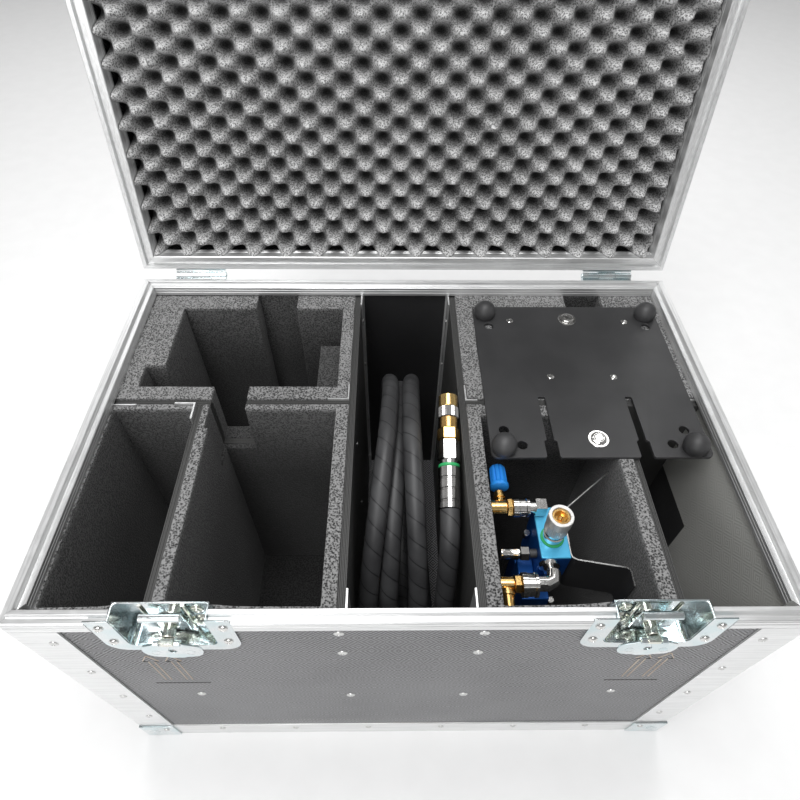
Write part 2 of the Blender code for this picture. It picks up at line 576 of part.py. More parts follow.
def handle(side, sx):
    """A recessed side handle: a dish let into the panel and a bail that hangs in it."""
    out, back = HX - GAP, HX - HANDLE_DEPTH
    wide, tall = HANDLE_Y, HANDLE_TALL

    def slab(name, x_a, x_b, half_y, half_z, slot=None):
        xs = sorted((sx * x_a, sx * x_b))
        return box(name, (xs[0], -half_y, HANDLE_Z - half_z), (xs[1], half_y, HANDLE_Z + half_z), slot)
    plate = slab("handle_dish_" + side, out, out - SHEET, wide + HANDLE_FLANGE, tall + HANDLE_FLANGE, "handle")
    join(plate, [slab("handle_cup_" + side, out, back - SHEET, wide + SHEET, tall + SHEET)])
    boolean(plate, [slab("handle_hollow_" + side, HX + 0.01, back, wide, tall)])

    x = sx * (HX - 0.0048)
    y, r = HANDLE_Y - 0.0065, BAIL_R
    high, low = HANDLE_Z + HANDLE_TALL - 0.0070, HANDLE_Z - HANDLE_TALL + 0.0070
    parts = [rod("bail_arm_%s_%d" % (side, i), (x, k * y, high), (x, k * y, low), r, sides=12)
             for i, k in enumerate((-1, 1))]
    grip = rod("handle_bail_" + side, (x, -y - r, low), (x, y + r, low), r + 0.0006, "handle", 12)
    axle = rod("bail_axle_" + side, (x, -y - 0.0055, high), (x, y + 0.0055, high), r * 0.7, sides=12)
    join(grip, parts + [axle])


# ---------------------------------------------------------------- lid

def lid_panels():
    """Top and four walls of the lid."""
    top = BODY_H + LID_H - SKIN
    low = BODY_H + SLOT_ROOF + GAP
    high = top - PLY - GAP
    made = [box("lid_top_panel", (-HX + SKIN, -HY + SKIN, top - PLY), (HX - SKIN, HY - SKIN, top), "ply")]
    for name, sx in (("lid_left_panel", -1), ("lid_right_panel", 1)):
        xs = sorted((sx * (HX - SKIN), sx * (HX - LINED)))
        made.append(box(name, (xs[0], -HY + SKIN, low), (xs[1], HY - SKIN, high), "ply"))
    across = HX - LINED - GAP
    made.append(box("lid_back_panel", (-across, HY - LINED, low), (across, HY - SKIN, high), "ply"))
    front = box("lid_front_panel", (-across, -HY + SKIN, low), (across, -HY + LINED, high), "ply")
    hole = DISH_HALF + SHEET + GAP
    boolean(front, [box("lid_hole_%d" % i, (sx * LATCH_X - hole, -HY, BODY_H - 0.01),
                        (sx * LATCH_X + hole, -HY + 0.03, BODY_H + KEEPER_DROP + SHEET + GAP))
                    for i, sx in enumerate((-1, 1))])
    return made + [front]


def open_lid(pieces):
    """Parent the lid's pieces to an empty on the hinge axis and turn it open."""
    axis = bpy.data.objects.new("lid_hinge_axis", None)
    PARTS.objects.link(axis)
    axis.location = (0, HINGE_Y, HINGE_Z)
    axis.rotation_euler = (-OPEN_ANGLE, 0, 0)
    back = Matrix.Translation((0, -HINGE_Y, -HINGE_Z))
    tools = {m.object for piece in pieces for m in piece.modifiers if m.type == "BOOLEAN"}
    for piece in list(pieces) + list(tools):
        piece.parent = axis
        piece.matrix_parent_inverse = back


# ---------------------------------------------------------------- the kit

def base_plate():
    """A slotted steel base plate stored feet up, with its four rubber balls."""
    (x0, x1), (y0, y1) = PLATE_X, PLATE_Y
    r = 0.006
    outline = (arc(x1 - r, y1 - r, r, 0, 90, 4) + arc(x0 + r, y1 - r, r, 90, 180, 4)
               + arc(x0 + r, y0 + r, r, 180, 270, 4) + arc(x1 - r, y0 + r, r, 270, 360, 4))
    low = PLATE_TOP - PLATE_T
    plate = prism("base_plate", outline, "z", low, PLATE_TOP, "powder_coat")
    slots = []
    for i, x in enumerate((0.1320, 0.2180)):
        slots.append(box("plate_slot_%d" % i, (x - 0.0035, y0 - 0.01, low - 0.01),
                         (x + 0.0035, 0.0270, BODY_H + 0.05)))
        slots.append(box("plate_mouth_%d" % i, (x - 0.0060, y0 - 0.01, low - 0.01),
                         (x + 0.0060, y0 + 0.0190, BODY_H + 0.05)))
    boolean(plate, slots)
    cut = math.degrees(math.asin(-(BALL_UP + PLATE_T / 2) / BALL_R))
    for i, (x, y) in enumerate(BALLS):
        section = [(0.0, BALL_R)] + arc(0, 0, BALL_R, 80, cut, 10) + [(0.0, -(BALL_UP + PLATE_T / 2))]
        join(plate, [turned("foot_%d" % i, section, (x, y, PLATE_TOP + BALL_UP), "z")])


def turned(name, section, place, axis, slot=None, steps=16):
    """A profile of (radius, height) points, top to bottom, turned with a Screw modifier."""
    mesh = bpy.data.meshes.new(name)
    mesh.from_pydata([(r, 0, h) for r, h in section], [(i, i + 1) for i in range(len(section) - 1)], [])
    obj = bpy.data.objects.new(name, mesh)
    obj.location = place
    if axis == "x":
        obj.rotation_euler = (0, math.pi / 2, 0)
    if axis == "y":
        obj.rotation_euler = (math.pi / 2, 0, 0)
    screw = obj.modifiers.new("turn", "SCREW")
    screw.steps = screw.render_steps = steps
    screw.use_merge_vertices = True
    screw.merge_threshold = 0.00005
    if slot:
        mesh.materials.append(material(slot))
        PARTS.objects.link(obj)
    else:
        obj.hide_render = True
        obj.display_type = "WIRE"
        CUTTERS.objects.link(obj)
    return obj


def hose():
    """The coiled hose: a ring for its turns, a tube for its loose end, and its quick coupling."""
    inner, outer = COIL_R - HOSE_R, COIL_R + HOSE_R
    half = (COIL_X[1] - COIL_X[0]) / 2
    mid = (COIL_X[1] + COIL_X[0]) / 2
    bevel = 0.004
    section = [(inner + bevel, half), (outer - bevel, half), (outer, half - bevel), (outer, -half + bevel),
               (outer - bevel, -half), (inner + bevel, -half), (inner, -half + bevel), (inner, half - bevel),
               (inner + bevel, half)]
    turned("hose_coil", section, (mid, COIL_Y, COIL_Z), "x", "hose", 32)

    curve = bpy.data.curves.new("hose_tail", "CURVE")
    curve.dimensions = "3D"
    spline = curve.splines.new("POLY")
    points = tail_points()
    spline.points.add(len(points) - 1)
    for point, co in zip(spline.points, points):
        point.co = (*co, 1)
    curve.bevel_depth = HOSE_R
    curve.bevel_resolution = 2
    curve.use_fill_caps = True
    curve.materials.append(material("hose"))
    PARTS.objects.link(bpy.data.objects.new("hose_tail", curve))

    end, before = points[-1], points[-2]
    along = (end - before).normalized()

    def at(distance):
        return end + along * (GAP + distance)
    coupling = rod("hose_coupling", at(0), at(0.040), 0.0102, "brass", 16)
    join(coupling, [rod("coupling_hex", at(0.038), at(0.052), 0.0109, sides=6),
                    rod("coupling_ring", at(0.051), at(0.066), 0.0106, sides=16),
                    rod("coupling_sleeve", at(0.065), at(0.112), 0.0100, sides=16)])


def tail_points():
    """The loose end: up the front of the coil beside its turns, then over to lie level at the top."""
    start_x, leave_x, end_x = COIL_X[1] + HOSE_R + GAP, 0.0330, 0.0366
    first, leave, around = -75, 20, 16
    points = []
    for i in range(around + 1):
        t = i / around
        angle = math.radians(first + (leave - first) * t)
        x = start_x + (leave_x - start_x) * t * t
        points.append(Vector((x, COIL_Y - COIL_R * math.cos(angle), COIL_Z + COIL_R * math.sin(angle))))
    angle, rise = math.radians(leave), math.radians(11)
    a, b = points[-1], Vector((end_x, -0.0850, BODY_H - 0.0390))
    pull = 0.115
    leave_along = Vector((0.02, math.sin(angle), math.cos(angle))) * pull
    end_along = Vector((0.02, math.cos(rise), math.sin(rise))) * pull
    steps = 9
    for i in range(1, steps + 1):
        t = i / steps
        points.append(a * (2 * t**3 - 3 * t**2 + 1) + leave_along * (t**3 - 2 * t**2 + t)
                      + b * (3 * t**2 - 2 * t**3) + end_along * (t**3 - t**2))
    return points


def valve():
    """A small valve manifold: a block with an upright coupling, two side tees and a knob."""
    floor = FLOOR + GAP + FLOOR_FOAM + GAP
    top = BODY_H - 0.045
    block = box("valve_block", (0.1155, -0.1285, top - 0.070), (0.1405, -0.0800, top), "anodised")
    x, z = VALVE_X, VALVE_Z
    rear, front = -0.0850, -0.1500
    join(block, [
        box("valve_leg", (0.1050, -0.1200, floor), (0.1360, -0.0850, top - 0.060)),
        rod("valve_port", (0.1280, -0.1020, top - 0.002), (0.1280, -0.1020, top + 0.010), 0.0085, sides=14),
        rod("valve_coupling", (0.1280, -0.1020, top + 0.009), (0.1280, -0.1020, top + 0.029), 0.0115,
            sides=16),
        rod("valve_tee_rear", (x, rear, z), (0.1220, rear, z), 0.0080, sides=12),
        box("valve_shoulder", (0.1160, -0.0920, top - 0.010), (0.1260, -0.0810, z + 0.0060)),
        rod("valve_tee_front", (x, front, z), (0.1320, front, z), 0.0080, sides=12),
        rod("valve_elbow", (0.1280, -0.1200, top - 0.012), (0.1280, front - 0.006, z - 0.002), 0.0075,
            sides=12),
        rod("valve_branch", (x, rear - 0.008, z), (x, VALVE_KNOB_Y, z), 0.0065, sides=12),
        rod("valve_branch_front", (x, front + 0.009, z), (x, -0.1700, z), 0.0070, sides=12),
    ])
    rod("valve_knob", (x, VALVE_KNOB_Y + GAP, z), (x, -0.0460, z), 0.0100, "anodised", 16, 0.0088)


def main():
    start()
    body_panels()
    lid_parts = [edge_frames()]
    lid_parts += ball_corners()
    lid_parts += rims()
    dividers()
    lid_parts.append(foams())
    for side, sx in (("left", -1), ("right", 1)):
        latch(side, sx)
        lid_parts.append(keeper(side, sx))
        lid_parts.append(hinge(side, sx))
        handle(side, sx)
    lid_parts += lid_panels()
    base_plate()
    hose()
    valve()
    open_lid(lid_parts)
    for obj in PARTS.objects:
        if obj.type == "MESH":
            smooth(obj)


main()
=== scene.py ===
import json
import math

import bmesh
import bpy
from mathutils import Matrix, Vector, noise


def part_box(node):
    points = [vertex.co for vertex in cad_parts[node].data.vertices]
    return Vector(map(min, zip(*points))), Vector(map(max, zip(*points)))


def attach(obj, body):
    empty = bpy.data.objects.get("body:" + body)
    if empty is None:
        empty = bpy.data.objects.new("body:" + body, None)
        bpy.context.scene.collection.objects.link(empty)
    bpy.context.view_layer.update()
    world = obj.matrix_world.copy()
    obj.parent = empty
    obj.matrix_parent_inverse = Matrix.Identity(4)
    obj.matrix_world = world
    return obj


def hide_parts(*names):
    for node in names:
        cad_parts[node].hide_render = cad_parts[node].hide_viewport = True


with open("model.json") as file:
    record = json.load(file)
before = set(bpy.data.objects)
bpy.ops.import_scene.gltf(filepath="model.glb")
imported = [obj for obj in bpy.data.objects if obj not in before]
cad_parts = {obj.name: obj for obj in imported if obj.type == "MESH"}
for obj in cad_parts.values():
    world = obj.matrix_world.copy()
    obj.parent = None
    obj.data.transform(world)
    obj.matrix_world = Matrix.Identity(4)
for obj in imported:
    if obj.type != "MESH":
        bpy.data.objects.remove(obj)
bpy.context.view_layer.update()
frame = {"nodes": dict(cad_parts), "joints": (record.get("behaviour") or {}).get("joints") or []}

noise.seed_set(7)                      # the offsets that noise_vector draws, the same on every run

# ---- sizes read from the frame ----
HX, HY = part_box("body_edge_frame")[1].x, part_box("body_edge_frame")[1].y
RIM_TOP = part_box("body_rim")[1].z
HINGE = next(joint for joint in frame["joints"] if joint["name"] == "lid_hinge")
HINGE_AT = Vector(HINGE["pos_m"])

# ---- driving sizes of the shell ----
ALU, SHEET, GAP = 0.0015, 0.0012, 0.0003
KNURL = 0.0004                         # depth of the knurls on the couplings
PLY_IN = 0.0108                        # inner face of the panels, in from the outside
RIM_LEG, RIM_IN, RIM_INNER = 0.020, 0.0155, 0.015
LID_H = 0.085
OPEN_ANGLE = math.radians(100)
LID_TURN = Matrix.Translation(HINGE_AT) @ Matrix.Rotation(-OPEN_ANGLE, 4, "X") @ Matrix.Translation(-HINGE_AT)
LATCH_X = 0.185
DISH_HALF, DISH_DEPTH, DISH_DROP = 0.0345, 0.014, 0.051
FLANGE_HALF, FLANGE_DROP = 0.0525, 0.062

# ---- driving sizes of the inside ----
FLOOR = 0.0091
BOARD, MID_X, CROSS_Y = 0.0065, 0.0505, 0.0192
SLOT_X, RIGHT_X = -0.205, 0.205        # left faces of the two slot boards
FOAM_TOP, POCKET_FLOOR = RIM_TOP - 0.0153, 0.0316
BOARD_TOP, ANGLE = RIM_TOP - 0.0175, 0.020

# ---- the hose ----
HOSE_R, COIL_R, COIL_Y, COIL_Z = 0.009, 0.144, -0.007, 0.196
TAIL_START_X, TAIL_LEAVE_X = 0.0253, 0.0330
TURNS, FIRST, LEAVE = 3, -75, 20       # whole turns, and the angles where the loose end starts and leaves
# x of the turns at each quarter turn: a little past the bottom, the front, the top and the back
LANES = [-0.0375, -0.0388, -0.0170, -0.0230, -0.0210, -0.0190, -0.0075, -0.0040, -0.0005, 0.0090, 0.0040,
         0.0150, 0.0253]
UNDER, UNDER_AT = 0.0170, 1.46         # the second turn passes under its neighbours at the top
WRAPS = 2                              # spiral lines wound round the hose together

UP, BACK, FRONT, LEFT = (0, 0, 1), (0, 1, 0), (0, -1, 0), (-1, 0, 0)


# ---------------------------------------------------------------- building closed shells

def frame_of(along):
    """Two directions square to one direction."""
    along = along.normalized()
    side = Vector((1, 0, 0)) if abs(along.x) < 0.8 else Vector((0, 1, 0))
    side = (side - along * side.dot(along)).normalized()
    return side, along.cross(side)


class Solid:
    """Closed shells gathered for one piece. Each method adds one shell."""

    def __init__(self):
        self.bm = bmesh.new()
        self.index = 0                 # material of the faces that are added next

    def skin(self, rings):
        """Faces between rings of points, and a cap on each end."""
        rows = [[self.bm.verts.new(p) for p in ring] for ring in rings]
        count = len(rows[0])
        for a, b in zip(rows, rows[1:]):
            for i in range(count):
                j = (i + 1) % count
                self.bm.faces.new((a[i], a[j], b[j], b[i])).material_index = self.index
        self.bm.faces.new(rows[0][::-1]).material_index = self.index
        self.bm.faces.new(rows[-1]).material_index = self.index
        return self

    def prism(self, outline, axis, low, high):
        """An outline run along an axis: points are (x, y), (x, z) or (y, z) for axis z, y or x."""
        place = {"z": lambda p, t: (p[0], p[1], t), "y": lambda p, t: (p[0], t, p[1]),
                 "x": lambda p, t: (t, p[0], p[1])}[axis]
        return self.skin([[place(p, t) for p in outline] for t in (low, high)])

    def box(self, low, high):
        (x0, y0, z0), (x1, y1, z1) = low, high
        return self.prism([(x0, y0), (x1, y0), (x1, y1), (x0, y1)], "z", z0, z1)

    def lathe(self, base, along, profile, sides=28, spin=0.0):
        """A profile of (distance, radius) turned round a line that starts at base."""
        base, along = Vector(base), Vector(along).normalized()
        a, b = frame_of(along)
        rings = []
        for distance, radius in profile:
            ring = []
            for i in range(sides):
                angle = spin + 2 * math.pi * i / sides
                ring.append(base + along * distance + (a * math.cos(angle) + b * math.sin(angle)) * radius)
            rings.append(ring)
        return self.skin(rings)

    def rod(self, start, end, radius, sides=24, edge=0.0005):
        """A round bar with broken edges."""
        along = Vector(end) - Vector(start)
        size = along.length
        return self.lathe(start, along, [(0, radius - edge), (edge, radius), (size - edge, radius),
                                         (size, radius - edge)], sides)

    def pipe(self, start, end, radius, bore, depth, sides=28):
        """A bar whose far end is bored out, so that one looks into it."""
        along, edge = Vector(end) - Vector(start), 0.0004
        size = along.length
        return self.lathe(start, along, [(0, radius - edge), (edge, radius), (size - edge, radius),
                                         (size, radius - edge), (size, bore + edge), (size - edge, bore),
                                         (size - depth, bore)], sides)

    def rivet(self, place, normal, radius=0.0042, height=0.0012):
        """A domed head with the shallow mark of its mandrel."""
        dome = ((0, 1), (0.35, 0.97), (0.75, 0.74), (1, 0.40), (1, 0.34), (0.55, 0.28))
        return self.lathe(place, normal, [(height * rise, radius * part) for rise, part in dome], 18)

    def tube(self, points, radius, sides=14):
        """A round tube along points, its ends capped."""
        points = [Vector(p) for p in points]
        across = frame_of(points[1] - points[0])[0]
        rings = []
        for i, point in enumerate(points):
            along = (points[min(i + 1, len(points) - 1)] - points[max(i - 1, 0)]).normalized()
            across = (across - along * across.dot(along)).normalized()
            up = along.cross(across)
            rings.append([point + (across * math.cos(t) + up * math.sin(t)) * radius
                          for t in (2 * math.pi * k / sides for k in range(sides))])
        return self.skin(rings)

    def strip(self, path, middle, half, thickness, axis="x"):
        """A bent sheet: a line of (across, up) points given a thickness, run half each way from a middle."""
        points = [Vector(p) for p in path]
        upper, lower = [], []
        for i, point in enumerate(points):
            along = (points[min(i + 1, len(points) - 1)] - points[max(i - 1, 0)]).normalized()
            off = Vector((-along.y, along.x)) * thickness / 2
            upper.append(point + off)
            lower.append(point - off)
        return self.prism([tuple(p) for p in upper + lower[::-1]], axis, middle - half, middle + half)

    def knurled(self, base, along, profile, count):
        """A turned shell like lathe's, with fine straight knurls round it."""
        base, along = Vector(base), Vector(along).normalized()
        a, b = frame_of(along)
        rings = []
        for distance, radius in profile:
            ring = []
            for i in range(count):
                angle = 2 * math.pi * i / count
                reach = radius - (KNURL if i % 2 else 0)
                ring.append(base + along * distance + (a * math.cos(angle) + b * math.sin(angle)) * reach)
            rings.append(ring)
        return self.skin(rings)


def between(p0, p1, p2, p3, t):
    """A smooth line from p1 (t 0) to p2 (t 1) that heeds the points before and after them."""
    return (2 * p1 + (p2 - p0) * t + (2 * p0 - 5 * p1 + 4 * p2 - p3) * t * t
            + (3 * p1 - p0 - 3 * p2 + p3) * t**3) / 2


def arc(cx, cy, radius, first, last, count):
    """Points on an arc, angles in degrees."""
    step = (last - first) / (count - 1)
    angles = [math.radians(first + step * i) for i in range(count)]
    return [(cx + radius * math.cos(a), cy + radius * math.sin(a)) for a in angles]


def bevel(obj, width, segments=2, angle=30):
    """Breaks the edges of a piece or of a CAD node with a modifier."""
    modifier = obj.modifiers.new("edges", "BEVEL")
    modifier.width = width
    modifier.segments = segments
    modifier.limit_method = "ANGLE"
    modifier.angle_limit = math.radians(angle)
    modifier.use_clamp_overlap = True
    return modifier


def shade(mesh, angle=35):
    mesh.shade_smooth()
    mesh.set_sharp_from_angle(angle=math.radians(angle))


def piece(name, solid, body, looks, stands_for=(), lid=False, edge=0.0, angle=35):
    """Turns gathered shells into a piece that rides on a body."""
    mesh = bpy.data.meshes.new(name)
    bmesh.ops.recalc_face_normals(solid.bm, faces=solid.bm.faces)
    if lid:
        bmesh.ops.transform(solid.bm, matrix=LID_TURN, verts=solid.bm.verts)
    solid.bm.to_mesh(mesh)
    solid.bm.free()
    for look in looks if isinstance(looks, (list, tuple)) else [looks]:
        mesh.materials.append(look)
    shade(mesh, angle)
    obj = bpy.data.objects.new(name, mesh)
    bpy.context.scene.collection.objects.link(obj)
    if edge:
        bevel(obj, edge)
    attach(obj, body)
    if stands_for:
        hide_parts(*([stands_for] if isinstance(stands_for, str) else stands_for))
    return obj


def carve(obj, cutters):
    """Cuts closed shells out of a piece and applies the result to its mesh."""
    holders = []
    for solid in cutters:
        bmesh.ops.recalc_face_normals(solid.bm, faces=solid.bm.faces)
        mesh = bpy.data.meshes.new("cutter")
        solid.bm.to_mesh(mesh)
        solid.bm.free()
        holder = bpy.data.objects.new("cutter", mesh)
        bpy.context.scene.collection.objects.link(holder)
        modifier = obj.modifiers.new("cut", "BOOLEAN")
        modifier.operation, modifier.solver, modifier.object = "DIFFERENCE", "EXACT", holder
        holders.append(holder)
    kept = [m for m in obj.modifiers if m.type != "BOOLEAN"]
    for modifier in kept:
        modifier.show_viewport = False
    graph = bpy.context.evaluated_depsgraph_get()
    made = bpy.data.meshes.new_from_object(obj.evaluated_get(graph))
    for modifier in list(obj.modifiers):
        if modifier.type == "BOOLEAN":
            obj.modifiers.remove(modifier)
        else:
            modifier.show_viewport = True
    obj.data = made
    shade(made)
    for holder in holders:
        bpy.data.objects.remove(holder)
    return obj


# ---------------------------------------------------------------- materials

class Look:
    """A Principled material and the nodes that feed it. Inputs given as sockets are linked."""

    def __init__(self, name, colour, roughness, metallic=0.0, **sockets):
        self.material = bpy.data.materials.new(name)
        self.material.use_nodes = True
        self.tree = self.material.node_tree
        self.shader = self.tree.nodes["Principled BSDF"]
        self.set(self.shader, {"Base Color": (*colour, 1), "Roughness": roughness, "Metallic": metallic,
                               **sockets})
        self.place = self.add("TexCoord").outputs["Object"]

    def set(self, made, inputs):
        for key, value in inputs.items():
            if isinstance(value, bpy.types.NodeSocket):
                self.tree.links.new(value, made.inputs[key])
            else:
                made.inputs[key].default_value = value

    def add(self, kind, inputs=None, **settings):
        made = self.tree.nodes.new("ShaderNode" + kind)
        for key, value in settings.items():
            setattr(made, key, value)
        self.set(made, inputs or {})
        return made

    def maths(self, operation, a, b=0.0, c=0.0):
        return self.add("Math", {0: a, 1: b, 2: c}, operation=operation).outputs[0]

    def axes(self):
        return self.add("SeparateXYZ", {0: self.place}).outputs

    def noise(self, scale, detail=2.0, stretch=None, roughness=0.5):
        vector = self.place
        if stretch:
            vector = self.add("VectorMath", {0: vector, 1: stretch}, operation="MULTIPLY").outputs[0]
        return self.add("TexNoise", {"Vector": vector, "Scale": scale, "Detail": detail,
                                     "Roughness": roughness}).outputs[0]

    def ramp(self, value, *stops):
        """A colour ramp of (position, colour or grey) stops."""
        made = self.add("ValToRGB", {0: value})
        band = made.color_ramp
        for i, (position, colour) in enumerate(stops):
            element = band.elements[i] if i < 2 else band.elements.new(position)
            element.position = position
            element.color = (colour, colour, colour, 1) if isinstance(colour, float) else (*colour, 1)
        return made.outputs[0]

    def mix(self, factor, a, b):
        made = self.add("Mix", {"Factor": factor}, data_type="RGBA")
        for socket, value in ((made.inputs[6], a), (made.inputs[7], b)):
            if isinstance(value, bpy.types.NodeSocket):
                self.tree.links.new(value, socket)
            else:
                socket.default_value = (*value, 1)
        return made.outputs[2]

    def bump(self, height, strength, distance):
        made = self.add("Bump", {"Height": height, "Strength": strength, "Distance": distance})
        self.set(self.shader, {"Normal": made.outputs[0]})

    def edge_wear(self):
        """A mask that rises on convex edges."""
        return self.ramp(self.add("NewGeometry").outputs["Pointiness"], (0.46, 0.0), (0.56, 1.0))


def metal_look(name, colour, roughness, stretch=None, spread=0.10, grain=0.25, tint=None, marks=0.12,
               metallic=1.0):
    """Metal with drawn grain, cloudy roughness, faint handling marks and an optional second tint."""
    look = Look(name, colour, roughness, metallic)
    cloud = look.noise(22, 3)
    fine = look.noise(900, 2, stretch)
    smudge = look.ramp(look.noise(60, 4, roughness=0.65), (0.52, 0.0), (0.72, 1.0))
    rough = look.maths("MULTIPLY_ADD", look.maths("SUBTRACT", cloud, 0.5), spread * 2, roughness)
    rough = look.maths("MULTIPLY_ADD", smudge, marks, rough)
    rough = look.maths("MULTIPLY_ADD", look.maths("SUBTRACT", fine, 0.5), spread, rough)
    darker = tuple(c * 0.82 for c in colour)
    base = look.mix(look.ramp(fine, (0.35, 0.0), (0.7, 1.0)), darker, colour)
    if tint:
        base = look.mix(look.ramp(look.noise(45, 2), (0.42, 0.0), (0.6, 1.0)), base, tint)
    look.set(look.shader, {"Roughness": rough, "Base Color": base})
    look.bump(fine, grain, 0.00006)
    return look.material


def laminate_look(name, flat=False, lined=False):
    """Pressed laminate: small herringbone dashes at 45 degrees. lined=True lines the panels' inner faces."""
    low, high = (0.010, 0.010, 0.012), (0.245, 0.245, 0.253)
    look = Look(name, high, 0.5, **{"Specular IOR Level": 0.45})
    x, y, z = look.axes()
    u = x if flat else look.maths("ADD", x, y)
    v = y if flat else z
    cell, dash = 0.0108, 0.0040
    wobble = look.maths("MULTIPLY", look.maths("SUBTRACT", look.noise(180, 2), 0.5), 0.0009)
    u = look.maths("ADD", u, wobble)
    tile = look.maths("ADD", look.maths("FLOOR", look.maths("DIVIDE", u, cell)),
                      look.maths("FLOOR", look.maths("DIVIDE", v, cell)))
    odd = look.maths("PINGPONG", tile, 1.0)
    sides = [look.maths("DIVIDE", look.maths(kind, u, v), dash) for kind in ("ADD", "SUBTRACT")]
    turns = [look.maths("MULTIPLY", side, 2 * math.pi) for side in sides]
    waves = [look.maths("MULTIPLY_ADD", look.maths("SINE", turn), 0.5, 0.5) for turn in turns]
    dashes = look.maths("ADD", look.maths("MULTIPLY", waves[0], odd),
                        look.maths("MULTIPLY", waves[1], look.maths("SUBTRACT", 1.0, odd)))
    speck = look.noise(1400, 2)
    height = look.maths("MULTIPLY_ADD", speck, 0.45, dashes)
    cloud = look.ramp(look.noise(9, 3), (0.35, 0.0), (0.65, 1.0))
    base = look.mix(look.ramp(height, (0.25, 0.0), (1.15, 1.0)), low, high)
    worn = tuple(min(1, c * 1.25) for c in high)
    base = look.mix(look.maths("MULTIPLY", cloud, 0.18), base, worn)
    if lined:
        past_x = look.maths("SUBTRACT", look.maths("ABSOLUTE", x), HX - 0.006)
        past_y = look.maths("SUBTRACT", look.maths("ABSOLUTE", y), HY - 0.006)
        outside = look.maths("GREATER_THAN", look.maths("MAXIMUM", past_x, past_y), 0.0)
        inner = look.mix(speck, (0.010, 0.010, 0.011), (0.028, 0.028, 0.029))
        painted_light_wall = look.maths("GREATER_THAN", x, HX - 0.030)      # the wall of the bare compartment: its own grey laminate, made paler with painted light
        inner = look.mix(painted_light_wall, inner, look.mix(speck, (0.50, 0.50, 0.475), (0.62, 0.62, 0.590)))
        base = look.mix(outside, inner, base)
    rough = look.maths("MULTIPLY_ADD", speck, 0.25, 0.34)
    look.set(look.shader, {"Base Color": base, "Roughness": rough})
    look.bump(height, 0.55, 0.00025)
    return look.material


def foam_look(name, low, high, scale, shade=None):
    """Cut open-cell foam: dark cells with pale broken walls. Its hollows get painted shade in the base
    colour:
    darker with depth when shade is "deep", and otherwise darker in the valleys, where the mesh's own rise is
    low."""
    look = Look(name, (high, high, high), 0.95, **{"Sheen Weight": 0.2, "Sheen Roughness": 0.6,
                                                   "Specular IOR Level": 0.2})
    cells = look.add("TexVoronoi", {"Vector": look.place, "Scale": scale}, feature="F1").outputs["Distance"]
    fine = look.noise(scale * 1.3, 2, roughness=0.8)
    cloud = look.noise(14, 3)
    grain = look.maths("MULTIPLY_ADD", cells, 0.60, look.maths("MULTIPLY", fine, 0.80))
    grain = look.maths("MULTIPLY_ADD", look.maths("SUBTRACT", cloud, 0.5), 0.18, grain)
    base = look.ramp(grain, (0.49, low), (0.63, (low + high) / 3), (0.80, high))
    if shade == "deep":                # painted shade: the pockets' colour darkens with depth
        painted_shade = look.ramp(look.axes()[2], (0.24, 0.12), (FOAM_TOP - 0.006, 0.42), (FOAM_TOP - 0.002, 1.0))
    else:
        rise = look.add("Attribute", attribute_name="rise").outputs["Fac"]
        # painted shade: the valleys between the peaks go towards black where the rise is low
        painted_shade = look.ramp(rise, (0.12, 0.03), (0.80, 1.0))
    look.set(look.shader, {"Base Color": look.mix(painted_shade, (0.002, 0.002, 0.002), base)})
    look.bump(grain, 0.8, 0.0009)
    return look.material


def board_look(name):
    """Black-faced plywood board: faint grain, pale scuffs along its cut edges."""
    look = Look(name, (0.03, 0.03, 0.03), 0.5)
    grain = look.noise(40, 4, (14, 14, 1))
    speck = look.noise(1100, 2)
    base = look.mix(look.ramp(speck, (0.4, 0.0), (0.7, 1.0)), (0.012, 0.012, 0.013), (0.034, 0.034, 0.034))
    base = look.mix(look.maths("MULTIPLY", look.edge_wear(), 0.35), base, (0.13, 0.13, 0.125))
    look.set(look.shader, {"Base Color": base, "Roughness": look.maths("MULTIPLY_ADD", grain, 0.3, 0.4)})
    look.bump(look.maths("ADD", grain, speck), 0.3, 0.0002)
    return look.material


def hose_look():
    """Matt rubber with painted shade as dark lines along its spiral groove, pale dust specks and faint bloom.
    """
    look = Look("hose_rubber", (0.05, 0.05, 0.052), 0.55, **{"Specular IOR Level": 0.5})
    turn = look.add("UVMap").outputs[0]
    along, round_it = look.add("SeparateXYZ", {0: turn}).outputs[:2]
    phase = look.maths("FRACT", look.maths("MULTIPLY_ADD", round_it, 2.0, along))
    # painted shade: near black along the spiral groove that hose_mesh cuts
    line = look.ramp(look.maths("ABSOLUTE", look.maths("SUBTRACT", phase, 0.5)), (0.015, 0.0), (0.045, 1.0))
    bloom = look.ramp(look.noise(35, 4), (0.35, 0.0), (0.7, 1.0))
    speck = look.noise(1500, 2)
    base = look.mix(bloom, (0.030, 0.030, 0.032), (0.052, 0.053, 0.055))
    base = look.mix(look.maths("MULTIPLY", speck, 0.3), base, (0.075, 0.075, 0.076))
    base = look.mix(line, (0.006, 0.006, 0.007), base)
    look.set(look.shader, {"Base Color": base, "Roughness": look.maths("MULTIPLY_ADD", bloom, 0.18, 0.42)})
    look.bump(speck, 0.25, 0.0001)
    return look.material


def coat_look(name, low, high, roughness, grain=900, strength=0.35, metallic=0.0, scuff=0.25, **sockets):
    """Paint, powder coat, rubber or moulded plastic: fine orange peel, cloudy tone and rubbed edges."""
    look = Look(name, high, roughness, metallic, **sockets)
    peel = look.noise(grain, 2)
    cloud = look.ramp(look.noise(25, 3), (0.35, 0.0), (0.68, 1.0))
    base = look.mix(cloud, low, high)
    rubbed = tuple(min(1, c * 2.4 + 0.03) for c in high)
    base = look.mix(look.maths("MULTIPLY", look.edge_wear(), scuff), base, rubbed)
    rough = look.maths("MULTIPLY_ADD", peel, 0.22, roughness - 0.11)
    look.set(look.shader, {"Base Color": base, "Roughness": rough})
    look.bump(peel, strength, 0.00012)
    return look.material


